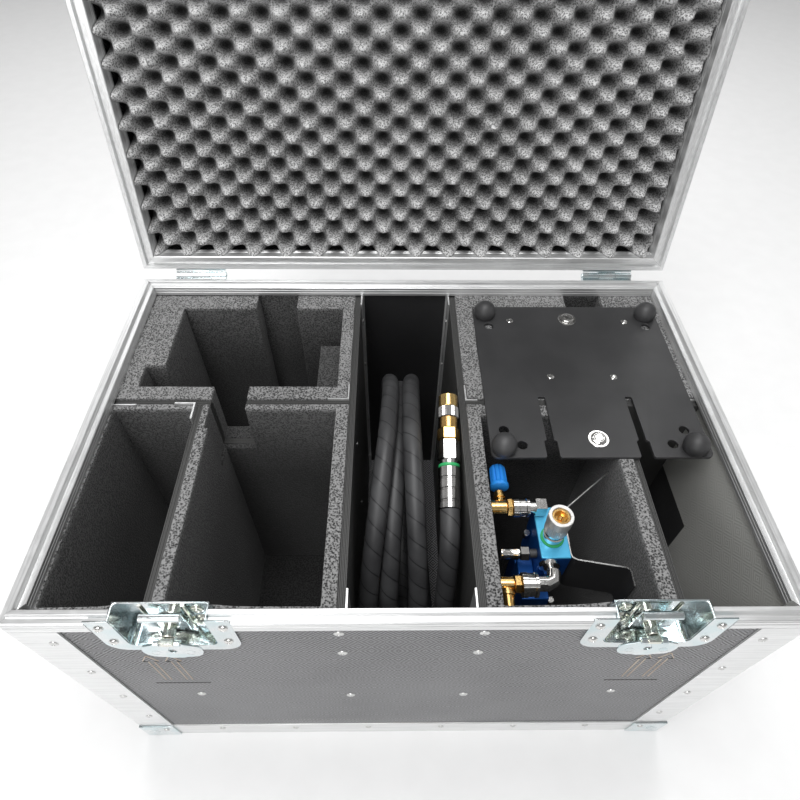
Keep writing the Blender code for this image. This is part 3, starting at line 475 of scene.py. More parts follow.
PALE_ALLOY = (0.88, 0.885, 0.885)
ALUMINIUM = metal_look("aluminium_x", PALE_ALLOY, 0.34, (0.02, 1, 1), metallic=0.78)
ALUMINIUM_Y = metal_look("aluminium_y", PALE_ALLOY, 0.34, (1, 0.02, 1), metallic=0.78)
ALUMINIUM_Z = metal_look("aluminium_z", PALE_ALLOY, 0.36, (1, 1, 0.02), metallic=0.78)
ZINC = metal_look("zinc_plate", (0.80, 0.84, 0.85), 0.13, spread=0.05, tint=(0.62, 0.72, 0.74), grain=0.12)
ZINC_WARM = metal_look("zinc_plate_warm", (0.84, 0.83, 0.76), 0.15, spread=0.05, tint=(0.66, 0.70, 0.60),
                       grain=0.12)
SILVER = metal_look("satin_silver", (0.90, 0.89, 0.87), 0.34, spread=0.06, grain=0.1, marks=0.06,
                    metallic=0.75)
CHROME = metal_look("chrome", (0.80, 0.79, 0.77), 0.12, spread=0.04, grain=0.08, marks=0.06)
BRASS = metal_look("brass", (0.86, 0.60, 0.24), 0.20, spread=0.08, tint=(0.80, 0.50, 0.18))
STEEL = metal_look("screw_steel", (0.72, 0.72, 0.71), 0.28, spread=0.08)
LAMINATE = laminate_look("laminate", lined=True)
LAMINATE_LID = laminate_look("laminate_lid")
LAMINATE_FLAT = laminate_look("laminate_flat", flat=True)
# painted light on the scored arrows: a pale painted highlight over the core's tan, and dark painted shade
ARROW_HIGHLIGHT = coat_look("scored_painted_highlight", (0.42, 0.33, 0.25), (0.62, 0.52, 0.42), 0.6, 1500, 0.2, scuff=0.0)
ARROW_SHADE = coat_look("scored_painted_shade", (0.030, 0.028, 0.026), (0.055, 0.050, 0.046), 0.6, 1500, 0.2, scuff=0.0)
FOAM = foam_look("foam_charcoal", 0.010, 0.27, 560, "deep")
LID_FOAM = foam_look("foam_lid_grey", 0.12, 0.62, 520)
BOARD_BLACK = board_look("board_black")
HOSE = hose_look()
POWDER = coat_look("powder_coat", (0.014, 0.014, 0.015), (0.026, 0.026, 0.027), 0.40, 1300, 0.5)
RUBBER = coat_look("ball_rubber", (0.030, 0.030, 0.031), (0.055, 0.055, 0.057), 0.50, 1600, 0.2, scuff=0.0)
PLASTIC = coat_look("handle_plastic", (0.018, 0.018, 0.019), (0.035, 0.035, 0.036), 0.45, 1100, 0.4)
BLUE = coat_look("anodised_blue", (0.004, 0.055, 0.24), (0.006, 0.085, 0.34), 0.34, 1500, 0.15, 0.45, 0.1)
SKY_BLUE = coat_look("anodised_sky", (0.05, 0.36, 0.66), (0.09, 0.46, 0.76), 0.36, 1500, 0.15, 0.35, 0.1)
KNOB_BLUE = coat_look("knob_blue", (0.010, 0.16, 0.60), (0.02, 0.24, 0.78), 0.38, 1500, 0.1, 0.0, 0.1)
GREEN = coat_look("seal_green", (0.01, 0.20, 0.06), (0.02, 0.32, 0.10), 0.45, 1500, 0.1)
FLOOR_PAINT = coat_look("studio_floor", (0.90, 0.90, 0.90), (0.92, 0.92, 0.92), 0.7, 400, 0.02, scuff=0.0)


# ---------------------------------------------------------------- camera, floor and light

def camera():
    """The photograph's view: above the front of the case, looking down into it."""
    pitch, yaw, roll = math.radians(49.81), math.radians(1.31), math.radians(1.02)
    right = Vector((math.cos(yaw), -math.sin(yaw), 0))
    forward = Vector((math.sin(yaw) * math.cos(pitch), math.cos(yaw) * math.cos(pitch), -math.sin(pitch)))
    up = right.cross(forward)
    right, up = (right * math.cos(roll) + up * math.sin(roll), up * math.cos(roll) - right * math.sin(roll))
    data = bpy.data.cameras.new("camera")
    data.sensor_width, data.lens = 36.0, 26.58
    data.clip_start = 0.01
    obj = bpy.data.objects.new("camera", data)
    obj.matrix_world = Matrix.Translation((-0.0158, -0.3498, 0.7925)) @ Matrix(
        (right, up, -forward)).transposed().to_4x4()
    bpy.context.scene.collection.objects.link(obj)
    bpy.context.scene.camera = obj


def floor():
    """A pale floor, a little below the case's feet, that rises into a backdrop all round."""
    solid = Solid()
    rings = []
    for radius, height in [(0.01, 0), (1.5, 0), (4.0, 0), (5.0, 0.15), (5.7, 0.8), (6.0, 2.0), (6.0, 5.0)]:
        rings.append([(radius * math.cos(a), radius * math.sin(a), height - 0.0003)
                      for a in (2 * math.pi * i / 48 for i in range(48))])
    for a, b in zip(rings, rings[1:]):
        va = [solid.bm.verts.new(p) for p in a]
        vb = [solid.bm.verts.new(p) for p in b]
        for i in range(48):
            j = (i + 1) % 48
            solid.bm.faces.new((va[i], va[j], vb[j], vb[i]))
    bmesh.ops.remove_doubles(solid.bm, verts=solid.bm.verts, dist=0.0001)
    middle = [v for v in solid.bm.verts if v.co.xy.length < 0.02]
    solid.bm.faces.new(sorted(middle, key=lambda v: math.atan2(v.co.y, v.co.x)))
    mesh = bpy.data.meshes.new("studio_floor")
    bmesh.ops.recalc_face_normals(solid.bm, faces=solid.bm.faces)
    solid.bm.to_mesh(mesh)
    solid.bm.free()
    mesh.materials.append(FLOOR_PAINT)
    mesh.shade_smooth()
    obj = bpy.data.objects.new("studio_floor", mesh)
    bpy.context.scene.collection.objects.link(obj)


def softbox(name, place, target, width, height, power):
    """A rectangular lamp that points at a target."""
    data = bpy.data.lights.new(name, "AREA")
    data.shape = "RECTANGLE"
    data.size, data.size_y, data.energy = width, height, power
    obj = bpy.data.objects.new(name, data)
    aim = (Vector(target) - Vector(place)).to_track_quat("-Z", "Y")
    obj.matrix_world = Matrix.Translation(place) @ aim.to_matrix().to_4x4()
    bpy.context.scene.collection.objects.link(obj)


def light():
    """Soft studio light: a pale surround, a large top box and two side boxes."""
    world = bpy.data.worlds.new("studio")
    world.use_nodes = True
    background = world.node_tree.nodes["Background"]
    background.inputs["Color"].default_value = (1, 1, 1, 1)
    background.inputs["Strength"].default_value = 0.32
    bpy.context.scene.world = world
    softbox("top_box", (0.0, 0.05, 2.3), (0, 0, 0.3), 1.2, 1.0, 20)
    softbox("back_box", (0.0, 2.0, 2.3), (0, -0.1, 0.3), 2.6, 1.2, 34)
    softbox("key_box", (-0.45, -0.75, 2.2), (0.1, 0, 0.3), 0.7, 0.7, 16)
    softbox("front_box", (-0.7, -2.0, 1.1), (0, 0, 0.2), 1.4, 1.0, 14)
    bpy.context.scene.view_settings.view_transform = "Standard"


camera()
floor()
light()


# ---------------------------------------------------------------- the hose

def coil_point(turn):
    """A point of the coil, from turn 0 to TURNS, where the loose end starts. The turns lean and cross."""
    angle = math.radians(FIRST) + 2 * math.pi * (turn - TURNS)
    place = turn * 4
    i = min(int(place), len(LANES) - 2)
    lanes = [LANES[max(0, min(len(LANES) - 1, n))] for n in (i - 1, i, i + 1, i + 2)]
    x = between(*lanes, place - i)
    radius = COIL_R - UNDER * math.exp(-((turn - UNDER_AT) / 0.16) ** 2)
    return Vector((x, COIL_Y - radius * math.cos(angle), COIL_Z + radius * math.sin(angle)))


def tail_route():
    """The loose end: up the front of the coil beside its turns, then over to lie level at the top."""
    points, around, over = [], 16, 9
    for i in range(around + 1):
        t = i / around
        angle = math.radians(FIRST + (LEAVE - FIRST) * t)
        x = TAIL_START_X + (TAIL_LEAVE_X - TAIL_START_X) * t * t
        points.append(Vector((x, COIL_Y - COIL_R * math.cos(angle), COIL_Z + COIL_R * math.sin(angle))))
    angle, rise = math.radians(LEAVE), math.radians(11)
    a, b = points[-1], Vector((0.0366, -0.0850, RIM_TOP - 0.0390))
    pull = 0.115
    leave_along = Vector((0.02, math.sin(angle), math.cos(angle))) * pull
    end_along = Vector((0.02, math.cos(rise), math.sin(rise))) * pull
    for i in range(1, over + 1):
        t = i / over
        points.append(a * (2 * t**3 - 3 * t**2 + 1) + leave_along * (t**3 - 2 * t**2 + t)
                      + b * (3 * t**2 - 2 * t**3) + end_along * (t**3 - t**2))
    return points


def resample(points, spacing):
    """Points at an even spacing along a smooth line through the given ones."""
    fine = []
    for i in range(len(points) - 1):
        near = points[max(i - 1, 0)], points[i], points[i + 1], points[min(i + 2, len(points) - 1)]
        fine += [between(*near, k / 8) for k in range(8)]
    fine.append(points[-1])
    lengths = [0.0]
    for a, b in zip(fine, fine[1:]):
        lengths.append(lengths[-1] + (b - a).length)
    count = round(lengths[-1] / spacing)
    out, k = [], 0
    for i in range(count + 1):
        want = lengths[-1] * i / count
        while k < len(fine) - 2 and lengths[k + 1] < want:
            k += 1
        t = (want - lengths[k]) / max(lengths[k + 1] - lengths[k], 1e-9)
        out.append(fine[k].lerp(fine[k + 1], min(t, 1)))
    return out, lengths[-1]


def hose_mesh(route):
    """A rubber tube whose wrapped cover shows as a shallow spiral groove, with UVs along and round it."""
    mesh, pitch, sides = bpy.data.meshes.new("hose"), 0.019, 20
    verts, faces, across = [], [], frame_of(route[1] - route[0])[0]
    step = (route[1] - route[0]).length
    for i, point in enumerate(route):
        along = (route[min(i + 1, len(route) - 1)] - route[max(i - 1, 0)]).normalized()
        across = (across - along * across.dot(along)).normalized()
        up = along.cross(across)
        for k in range(sides):
            angle = 2 * math.pi * k / sides
            phase = (i * step / pitch + WRAPS * k / sides) % 1.0 - 0.5
            radius = HOSE_R - 0.00035 * math.exp(-(phase * pitch / 0.0011) ** 2)
            verts.append(point + (across * math.cos(angle) + up * math.sin(angle)) * radius)
    for i in range(len(route) - 1):
        for k in range(sides):
            m = (k + 1) % sides
            faces.append((i * sides + k, i * sides + m, (i + 1) * sides + m, (i + 1) * sides + k))
    last = (len(route) - 1) * sides
    faces.append(tuple(range(sides))[::-1])
    faces.append(tuple(range(last, last + sides)))
    mesh.from_pydata(verts, [], faces)
    layer = mesh.uv_layers.new(name="UVMap").data
    spot = 0
    for i in range(len(route) - 1):
        for k in range(sides):
            for ring, side in ((i, k), (i, k + 1), (i + 1, k + 1), (i + 1, k)):
                layer[spot].uv = (ring * step / pitch, side / sides)
                spot += 1
    mesh.materials.append(HOSE)
    shade(mesh, 60)
    return mesh


def hose():
    """The coiled hose as one tube, with its inner nipple and its quick coupling."""
    turns = [coil_point(i / 36) for i in range(TURNS * 36)]
    route, length = resample(turns + tail_route(), 0.0016)
    tube = bpy.data.objects.new("hose", hose_mesh(route))
    bpy.context.scene.collection.objects.link(tube)
    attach(tube, "hose")
    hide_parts("hose_coil", "hose_tail")

    start, back = route[0], (route[0] - route[4]).normalized()
    nipple = Solid()
    collar = [(0, 0.0085), (0.0005, 0.0098), (0.0090, 0.0098), (0.0095, 0.0088)]
    hexagon = [(0, 0.0096), (0.0008, 0.0104), (0.0080, 0.0104), (0.0088, 0.0096)]
    spigot = [(0, 0.0060), (0.0040, 0.0064), (0.0110, 0.0064), (0.0120, 0.0054)]
    for distance, profile, sides in ((GAP, collar, 28), (0.0096, hexagon, 6), (0.0184, spigot, 28)):
        nipple.lathe(start + back * distance, back, profile, sides)
    inner = piece("hose_nipple", nipple, "hose", BRASS, angle=30)

    end, along = route[-1], (route[-1] - route[-5]).normalized()
    parts = coupling(end, along)


def coupling(end, along):
    """Quick coupling: crimped ferrule, green ring, chrome hex, brass hex, knurled sleeve, brass mouth."""
    def at(distance):
        return end + along * (GAP + distance)

    chrome, brass, ring = Solid(), Solid(), Solid()
    crimps = [(0.0, 0.0092), (0.0006, 0.0100)]
    for i in range(3):
        s = 0.0060 + 0.0105 * i
        crimps += [(s, 0.0101), (s + 0.0006, 0.0095), (s + 0.0020, 0.0095), (s + 0.0026, 0.0101)]
    chrome.lathe(at(0), along, crimps + [(0.0385, 0.0101), (0.0392, 0.0094)])
    ring.lathe(at(0.0393), along, [(0, 0.0094), (0.0004, 0.0099), (0.0024, 0.0099), (0.0028, 0.0094)])
    chrome.lathe(at(0.0422), along, [(0, 0.0084), (0.0034, 0.0084)])
    chrome.lathe(at(0.0456), along, [(0, 0.0098), (0.0010, 0.0108), (0.0190, 0.0108), (0.0200, 0.0098)], 6)
    brass.lathe(at(0.0657), along, [(0, 0.0094), (0.0008, 0.0105), (0.0110, 0.0105), (0.0118, 0.0096)], 6)
    brass.lathe(at(0.0776), along, [(0, 0.0080), (0.0004, 0.0085), (0.0104, 0.0085), (0.0108, 0.0080)])
    chrome.knurled(at(0.0885), along, [(0, 0.0090), (0.0006, 0.0098), (0.0104, 0.0098), (0.0110, 0.0090)], 72)
    brass.pipe(at(0.0996), at(0.1118), 0.0092, 0.0058, 0.0085)
    made = [piece("hose_coupling_chrome", chrome, "hose", CHROME, "hose_coupling", angle=30),
            piece("hose_coupling_brass", brass, "hose", BRASS, "hose_coupling", angle=30),
            piece("hose_coupling_ring", ring, "hose", GREEN, "hose_coupling", angle=30)]
    return made


hose()


# ---------------------------------------------------------------- foam

def spaced(values, step):
    """Sorted values with extra ones between them, no further apart than a step."""
    values = sorted({round(v, 6) for v in values})
    out = [values[0]]
    for a, b in zip(values, values[1:]):
        count = max(1, math.ceil((b - a) / step - 0.01))
        out += [a + (b - a) * i / count for i in range(1, count + 1)]
    return out


def carved(blocks, cuts):
    """One closed shell: the cells of a grid that lie in a block and in no cut."""
    def holds(shapes, p):
        return any(all(low[i] < p[i] < high[i] for i in range(3)) for low, high in shapes)
    low = [min(b[0][i] for b in blocks) for i in range(3)]
    high = [max(b[1][i] for b in blocks) for i in range(3)]
    lines = []
    for i in range(3):
        found = [corner[i] for shape in blocks + cuts for corner in shape if low[i] <= corner[i] <= high[i]]
        lines.append(spaced(found, 0.014))
    sizes = [len(line) - 1 for line in lines]
    full = set()
    for i in range(sizes[0]):
        for j in range(sizes[1]):
            for k in range(sizes[2]):
                middle = [(lines[a][n] + lines[a][n + 1]) / 2 for a, n in enumerate((i, j, k))]
                if holds(blocks, middle) and not holds(cuts, middle):
                    full.add((i, j, k))
    solid, made = Solid(), {}

    def vert(key):
        if key not in made:
            made[key] = solid.bm.verts.new([lines[a][n] for a, n in enumerate(key)])
        return made[key]
    for cell in full:
        for axis in range(3):
            for way in (0, 1):
                beyond = list(cell)
                beyond[axis] += 1 if way else -1
                if tuple(beyond) in full:
                    continue
                a, b = [n for n in range(3) if n != axis]
                corners = []
                for da, db in ((0, 0), (1, 0), (1, 1), (0, 1)):
                    key = list(cell)
                    key[axis] += way
                    key[a] += da
                    key[b] += db
                    corners.append(vert(tuple(key)))
                solid.bm.faces.new(corners)
    return solid


def corner_slit(corner, x_leg, y_leg):
    """The two thin cuts that let a small angle slide down the corner of a block."""
    x, y = corner
    over, thick = 0.5, ALU + 0.0005

    def cut(dx, dy):
        xs, ys = sorted((x - math.copysign(0.01, dx), x + dx)), sorted((y - math.copysign(0.01, dy), y + dy))
        return (xs[0], ys[0], 0.0), (xs[1], ys[1], over)
    return [cut(x_leg, math.copysign(thick, y_leg)), cut(math.copysign(thick, x_leg), y_leg)]


def foam(name, blocks, cuts, stands_for, bulges=()):
    """A cut foam block: soft edges, slightly uneven faces, and a push to the back behind a latch."""
    solid, wobble, bulge = carved(blocks, cuts), 0.0005, 0.0045
    seed = Vector((sum(ord(c) for c in name) % 17, 0, 0))
    for vert in solid.bm.verts:
        p = vert.co.copy()
        vert.co += wobble * noise.noise_vector(p * 28 + seed)
        for centre in bulges:
            if -0.184 < p.y < -0.150:
                near = math.exp(-((p.x - centre) / 0.040) ** 2) * max(0.0, min(1.0, (p.z - 0.24) / 0.08))
                vert.co.y += bulge * near
    obj = piece(name, solid, "case_body", FOAM, stands_for, angle=50)
    bevel(obj, 0.0013, 2, 40)
    return obj


def foam_trays():
    """The foam of the five lined compartments, in the strips and blocks that it is glued up from. A block is
    a low and a high corner, and so is each pocket cut out of it."""
    wall_x, wall_y = HX - PLY_IN - GAP, HY - PLY_IN - GAP
    low, over, top = FLOOR + GAP, RIM_TOP + 0.05, FOAM_TOP
    near, behind, ahead = MID_X + BOARD + GAP, CROSS_Y + BOARD + GAP, CROSS_Y - GAP
    seam = 0.0004
    back_face, pocket_front, notch_z = 0.1610, -0.1800, RIM_TOP - 0.080
    notch = ((-0.1920, -0.01, notch_z), (-0.1575, 0.06, over))
    step = ANGLE + GAP

    foam("foam_rear_left_back", [((-wall_x, back_face, low), (-near, wall_y, top - 0.0015))],
         [((-0.1685, 0.15, POCKET_FLOOR), (-0.1225, wall_y - 0.0012, over))], "foam_rear_left")
    foam("foam_rear_left_tray", [((-wall_x, behind, low), (-near, back_face - seam, top))],
         [((-0.2480, 0.0420, POCKET_FLOOR), (-0.1220, 0.2, over)),
          ((-0.2680, 0.0420, POCKET_FLOOR + 0.150), (-0.1220, 0.0710, over)),
          ((-0.1230, 0.0420, POCKET_FLOOR), (-0.0980, 0.2, over)),
          ((-0.0990, 0.0420, POCKET_FLOOR), (-0.0700, 0.0800, over)),
          ((-0.0990, 0.1450, POCKET_FLOOR), (-0.0700, 0.2, over)),
          ((-0.0990, 0.0790, RIM_TOP - 0.060), (-0.0700, 0.1460, over)),
          notch] + corner_slit((-near, behind), -0.0215, step), "foam_rear_left")
    dish_x, dish_y = DISH_HALF + SHEET + GAP, -HY + DISH_DEPTH + SHEET + GAP
    dish_z = RIM_TOP - DISH_DROP - SHEET - GAP

    def dish(sx):
        return (sx * LATCH_X - dish_x, -0.3, dish_z), (sx * LATCH_X + dish_x, dish_y, over)
    inner = SLOT_X + BOARD + GAP
    foam("foam_front_left_tray", [((inner, -wall_y, low), (-near, ahead, top))],
         [((-0.1885, pocket_front, POCKET_FLOOR), (-0.0695, 0.0128, over)), dish(-1), notch],
         "foam_front_left", bulges=[-LATCH_X])
    foam("foam_slot_left_tray", [((-wall_x, -wall_y, low), (SLOT_X - GAP, ahead, top))],
         [((-wall_x + 0.0055, pocket_front, POCKET_FLOOR), (0, 0.0128, over)), dish(-1)]
         + corner_slit((SLOT_X - GAP, ahead), -step, -step) + corner_slit((-wall_x, ahead), 0.0265, -step),
         "foam_slot_left", bulges=[-LATCH_X])

    (px0, py0, _), (px1, py1, _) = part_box("base_plate")
    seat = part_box("foam_rear_right")[1].z - 0.0015 - GAP
    foam("foam_rear_right_back", [((near, py1 + seam, low), (wall_x, wall_y, top))],
         [((0.1830, 0.12, POCKET_FLOOR), (0.2250, wall_y - 0.0012, over))], "foam_rear_right")
    foam("foam_rear_right_tray", [((near, behind, low), (wall_x, py1, top))],
         [((px0 - GAP, 0.0, seat), (px1 + GAP, 0.3, over)),
          ((0.0950, 0.0520, POCKET_FLOOR), (0.2600, 0.1400, over)),
          ((0.1830, 0.1300, POCKET_FLOOR), (0.2250, 0.3, over))]
         + corner_slit((near, behind), 0.0123, step) + corner_slit((wall_x, behind), -0.0093, step),
         "foam_rear_right")
    foam("foam_front_right_tray", [((near, -wall_y, low), (RIGHT_X - GAP, ahead, top))],
         [((0.0700, pocket_front, POCKET_FLOOR), (0.1920, 0.0060, over)),
          ((px0 - 0.0033, py0 - GAP, seat), (0.3, 0.1, over)), dish(1)], "foam_front_right", bulges=[LATCH_X])


def ball_places():
    """The centres of the base plate's four balls."""
    low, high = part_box("base_plate")
    return ((low.x + 0.0122, high.y - 0.0138), (high.x - 0.0133, high.y - 0.0158),
            (low.x + 0.0116, low.y + 0.0098), (high.x - 0.0160, low.y + 0.0098))


def lid_foam():
    """Convoluted foam glued into the lid: rows of rounded peaks, each half a pitch along from the last."""
    pitch_x, pitch_y, shift_x, tall = 0.0372, 0.0271, 0.0128, 0.0330
    x1, y1 = HX - RIM_IN - GAP - 0.0004, HY - RIM_IN - GAP - 0.0004
    tip, proud, border = RIM_TOP + 0.0030, 0.0070, 0.0220
    back = RIM_TOP + LID_H - 0.0018 - 0.009 - GAP
    balls = ball_places()
    nx, ny = 228, 144
    solid = Solid()
    front_grid, depth = [], solid.bm.verts.layers.float.new("rise")
    for j in range(ny + 1):
        row = []
        y = -y1 + 2 * y1 * j / ny
        for i in range(nx + 1):
            x = -x1 + 2 * x1 * i / nx
            wave_x = math.cos(2 * math.pi * (x - shift_x) / pitch_x)
            wave_y = math.cos(2 * math.pi * (y - y1) / pitch_y)
            rise = 0.5 + 0.5 * wave_x * wave_y
            inside = min(x1 - abs(x), y1 - abs(y)) / border
            plane = tip - proud * max(0.0, min(1.0, 1.25 - inside))
            for bx, by in balls:       # hollowed over the plate's balls
                near = max(0.0, 1.9 - math.hypot(x - bx, y - by) / 0.014)
                plane = max(plane, tip - 0.02 + 0.0230 * min(1.0, near))
            for sx in (-1, 1):         # hollowed behind each latch keeper
                near = max(0.0, 1 - abs(x - sx * LATCH_X) / 0.052) * max(0.0, 1 - (y + HY) / 0.048)
                rise *= 1 - min(1.0, near * 2.2)
            bump = noise.noise(Vector((x, y, 0)) * 70) * 0.0016
            row.append(solid.bm.verts.new((x, y, plane + tall * (1 - rise) + abs(bump))))
            # the rise is kept for the lid foam material, which paints shade into the valleys with it
            row[-1][depth] = rise
        front_grid.append(row)
    for j in range(ny):
        for i in range(nx):
            solid.bm.faces.new((front_grid[j][i], front_grid[j][i + 1], front_grid[j + 1][i + 1],
                                front_grid[j + 1][i]))
    edge = ([front_grid[0][i] for i in range(nx)] + [front_grid[j][nx] for j in range(ny)]
            + [front_grid[ny][i] for i in range(nx, 0, -1)] + [front_grid[j][0] for j in range(ny, 0, -1)])
    upper = [solid.bm.verts.new((v.co.x, v.co.y, back)) for v in edge]
    for i in range(len(edge)):
        j = (i + 1) % len(edge)
        solid.bm.faces.new((edge[i], edge[j], upper[j], upper[i]))
    solid.bm.faces.new(upper)
    obj = piece("foam_lid_convoluted", solid, "lid", LID_FOAM, "foam_lid", lid=True, angle=70)


# ---------------------------------------------------------------- boards

def ply_section(low, high, top, base):
    """A board's section: its edge shows the veneers as fine steps."""
    lines = 5
    points = [(low, base), (high, base), (high, top - 0.0004)]
    width = high - low
    for i in range(lines, 0, -1):
        right, left = low + width * i / lines, low + width * (i - 1) / lines
        drop = 0.0003 if i % 2 == 0 else 0.0
        points += [(right - 0.0003, top - drop), (left + 0.0003, top - drop), (left + 0.00015, top - 0.0006)]
    points[-1] = (low, top - 0.0004)
    return points


def small_angle(solid, corner, x_leg, y_leg, base, top):
    """An upright aluminium angle in a corner: its legs run off along x and y from a small root radius."""
    x, y = corner
    sx, sy = math.copysign(1, x_leg), math.copysign(1, y_leg)
    t, r = ALU, 0.0008
    long_x, long_y = abs(x_leg), abs(y_leg)
    points = [(0, 0), (long_x, 0), (long_x, t * 0.7), (long_x - t * 0.3, t), (t + r, t),
              (t + r * 0.3, t + r * 0.3), (t, t + r), (t, long_y - t * 0.3), (t * 0.7, long_y), (0, long_y)]
    solid.prism([(x + sx * px, y + sy * py) for px, py in points], "z", base, top)


def dividers():
    """The boards between compartments, and the angles and rivets that hold them."""
    base, far, end = FLOOR + GAP, HX - PLY_IN - GAP, HY - PLY_IN - GAP
    top, bay = BOARD_TOP, MID_X + BOARD
    rows = (0.318, 0.245, 0.130, 0.040)
    for name, sx in (("left", -1), ("right", 1)):
        low, high = sorted((sx * MID_X, sx * bay))
        board, angles, rivets = Solid(), Solid(), Solid()
        board.prism(ply_section(low, high, top, base), "y", -end, end)
        for sy in (-1, 1):
            small_angle(angles, (sx * MID_X, sy * end), -sx * 0.0032, -sy * ANGLE, base, top + 0.0020)
            for z in rows:
                rivets.rivet((sx * (MID_X - ALU), sy * (end - 0.0125), z), (-sx, 0, 0), 0.0030, 0.0010)
        for z in rows[1:]:
            rivets.rivet((sx * MID_X, CROSS_Y - 0.0145, z + 0.058), (-sx, 0, 0), 0.0030, 0.0010)
        node = "divider_" + name
        piece(node + "_board", board, "case_body", BOARD_BLACK, node, angle=25)
        piece(node + "_angles", angles, "case_body", ALUMINIUM_Z, node, angle=25)
        piece(node + "_rivets", rivets, "case_body", STEEL, node)

    def cross(name, x0, x1, height, corners, notch=None):
        board, angles = Solid(), Solid()
        section = ply_section(CROSS_Y, CROSS_Y + BOARD, height, base)
        if notch:
            board.prism(section, "x", x0, notch[0])
            board.prism(section, "x", notch[1], x1)
            board.prism(ply_section(CROSS_Y, CROSS_Y + BOARD, notch[2], base), "x", notch[0], notch[1])
        else:
            board.prism(section, "x", x0, x1)
        for corner, x_leg, y_leg, rise in corners:
            small_angle(angles, corner, x_leg, y_leg, base, top + rise)
        piece(name + "_sheet", board, "case_body", BOARD_BLACK, name, angle=25)
        piece(name + "_angles", angles, "case_body", ALUMINIUM_Z, name, angle=25)

    near, back = bay + GAP, CROSS_Y + BOARD
    cross("cross_board_left", -far, -near, top,
          [((-near, back), -0.0210, ANGLE, 0.0020), ((-far, CROSS_Y), 0.0260, -ANGLE, 0.0020)],
          (-0.1920, -0.1575, RIM_TOP - 0.080))
    cross("cross_board_right", near, far, RIM_TOP - 0.0185,
          [((near, back), 0.0120, ANGLE, 0.0), ((far, back), -0.0090, ANGLE, 0.0)])

    ahead = CROSS_Y - GAP
    step_y, step_z = -HY + DISH_DEPTH + SHEET + GAP, RIM_TOP - DISH_DROP - SHEET - GAP
    low_top = RIM_TOP - 0.0185
    for name, x, height in (("slot_board_left", SLOT_X, top), ("slot_board_right", RIGHT_X, low_top)):
        board = Solid()
        board.prism(ply_section(x, x + BOARD, height, base), "y", step_y, ahead)
        board.prism(ply_section(x, x + BOARD, step_z, base), "y", -end, step_y)
        piece(name + "_sheet", board, "case_body", BOARD_BLACK, name, angle=25)
    angle = Solid()
    small_angle(angle, (SLOT_X, ahead), -ANGLE, -ANGLE, base, top + 0.0050)
    piece("slot_board_left_angle", angle, "case_body", ALUMINIUM_Z, "slot_board_left", angle=25)


foam_trays()
lid_foam()
dividers()


# ---------------------------------------------------------------- rims, panels and edges

def rim_outline(sign, outer=True, inner_leg=True):
    """The extrusion's section as (inset, z): sign 1 on the body, -1 on the lid. outer=False leaves out the
    leg that the latches' flanges replace, and inner_leg=False the one that the body's front rim lacks."""
    def z(drop):
        return RIM_TOP - sign * drop
    groove = []
    for depth in (0.0078, 0.0112):     # two fine grooves along the inner face
        groove += [(RIM_IN, z(depth - 0.0005)), (RIM_IN - 0.0004, z(depth)), (RIM_IN, z(depth + 0.0005))]
    slot = [(RIM_IN, z(RIM_INNER)), (PLY_IN + GAP, z(RIM_INNER)), (PLY_IN + GAP, z(0.0075))]
    if sign > 0:
        shoulder, inner = 0.0040, [(0.0052, z(0.0034)), (0.0056, z(0.0008)), (0.0062, z(0)), (0.0092, z(0)),
                                   (0.0098, z(0.0008)), (0.0103, z(0.0034)), (0.0108, z(0.0040))]
    else:
        shoulder, inner = -0.0037, [(0.0048, z(-0.0030)), (0.0054, z(0.0006)), (0.0102, z(0.0006)),
                                    (0.0108, z(-0.0030)), (0.0113, z(-0.0037))]
    near = [(0.0046, z(shoulder))] + inner
    if inner_leg:
        near += [(RIM_IN - 0.0007, z(shoulder)), (RIM_IN, z(shoulder + 0.0006))]
    else:
        groove, slot = [], [(PLY_IN + GAP, z(shoulder + 0.0003)), (PLY_IN + GAP, z(0.0075))]
    if not outer:
        return [(0.0021, z(0.0075)), (0.0021, z(shoulder))] + near + groove + slot
    leg = [(ALU, z(0.0075)), (ALU, z(RIM_LEG)), (0.0004, z(RIM_LEG)), (0, z(RIM_LEG - 0.0004))]
    for depth in (0.0122, 0.0068):     # and two down the outer leg
        leg += [(0, z(depth + 0.0008)), (0.0008, z(depth + 0.0003)), (0.0008, z(depth - 0.0003)),
                (0, z(depth - 0.0008))]
    return leg + [(0, z(shoulder + 0.0008)), (0.0008, z(shoulder))] + near + groove + slot


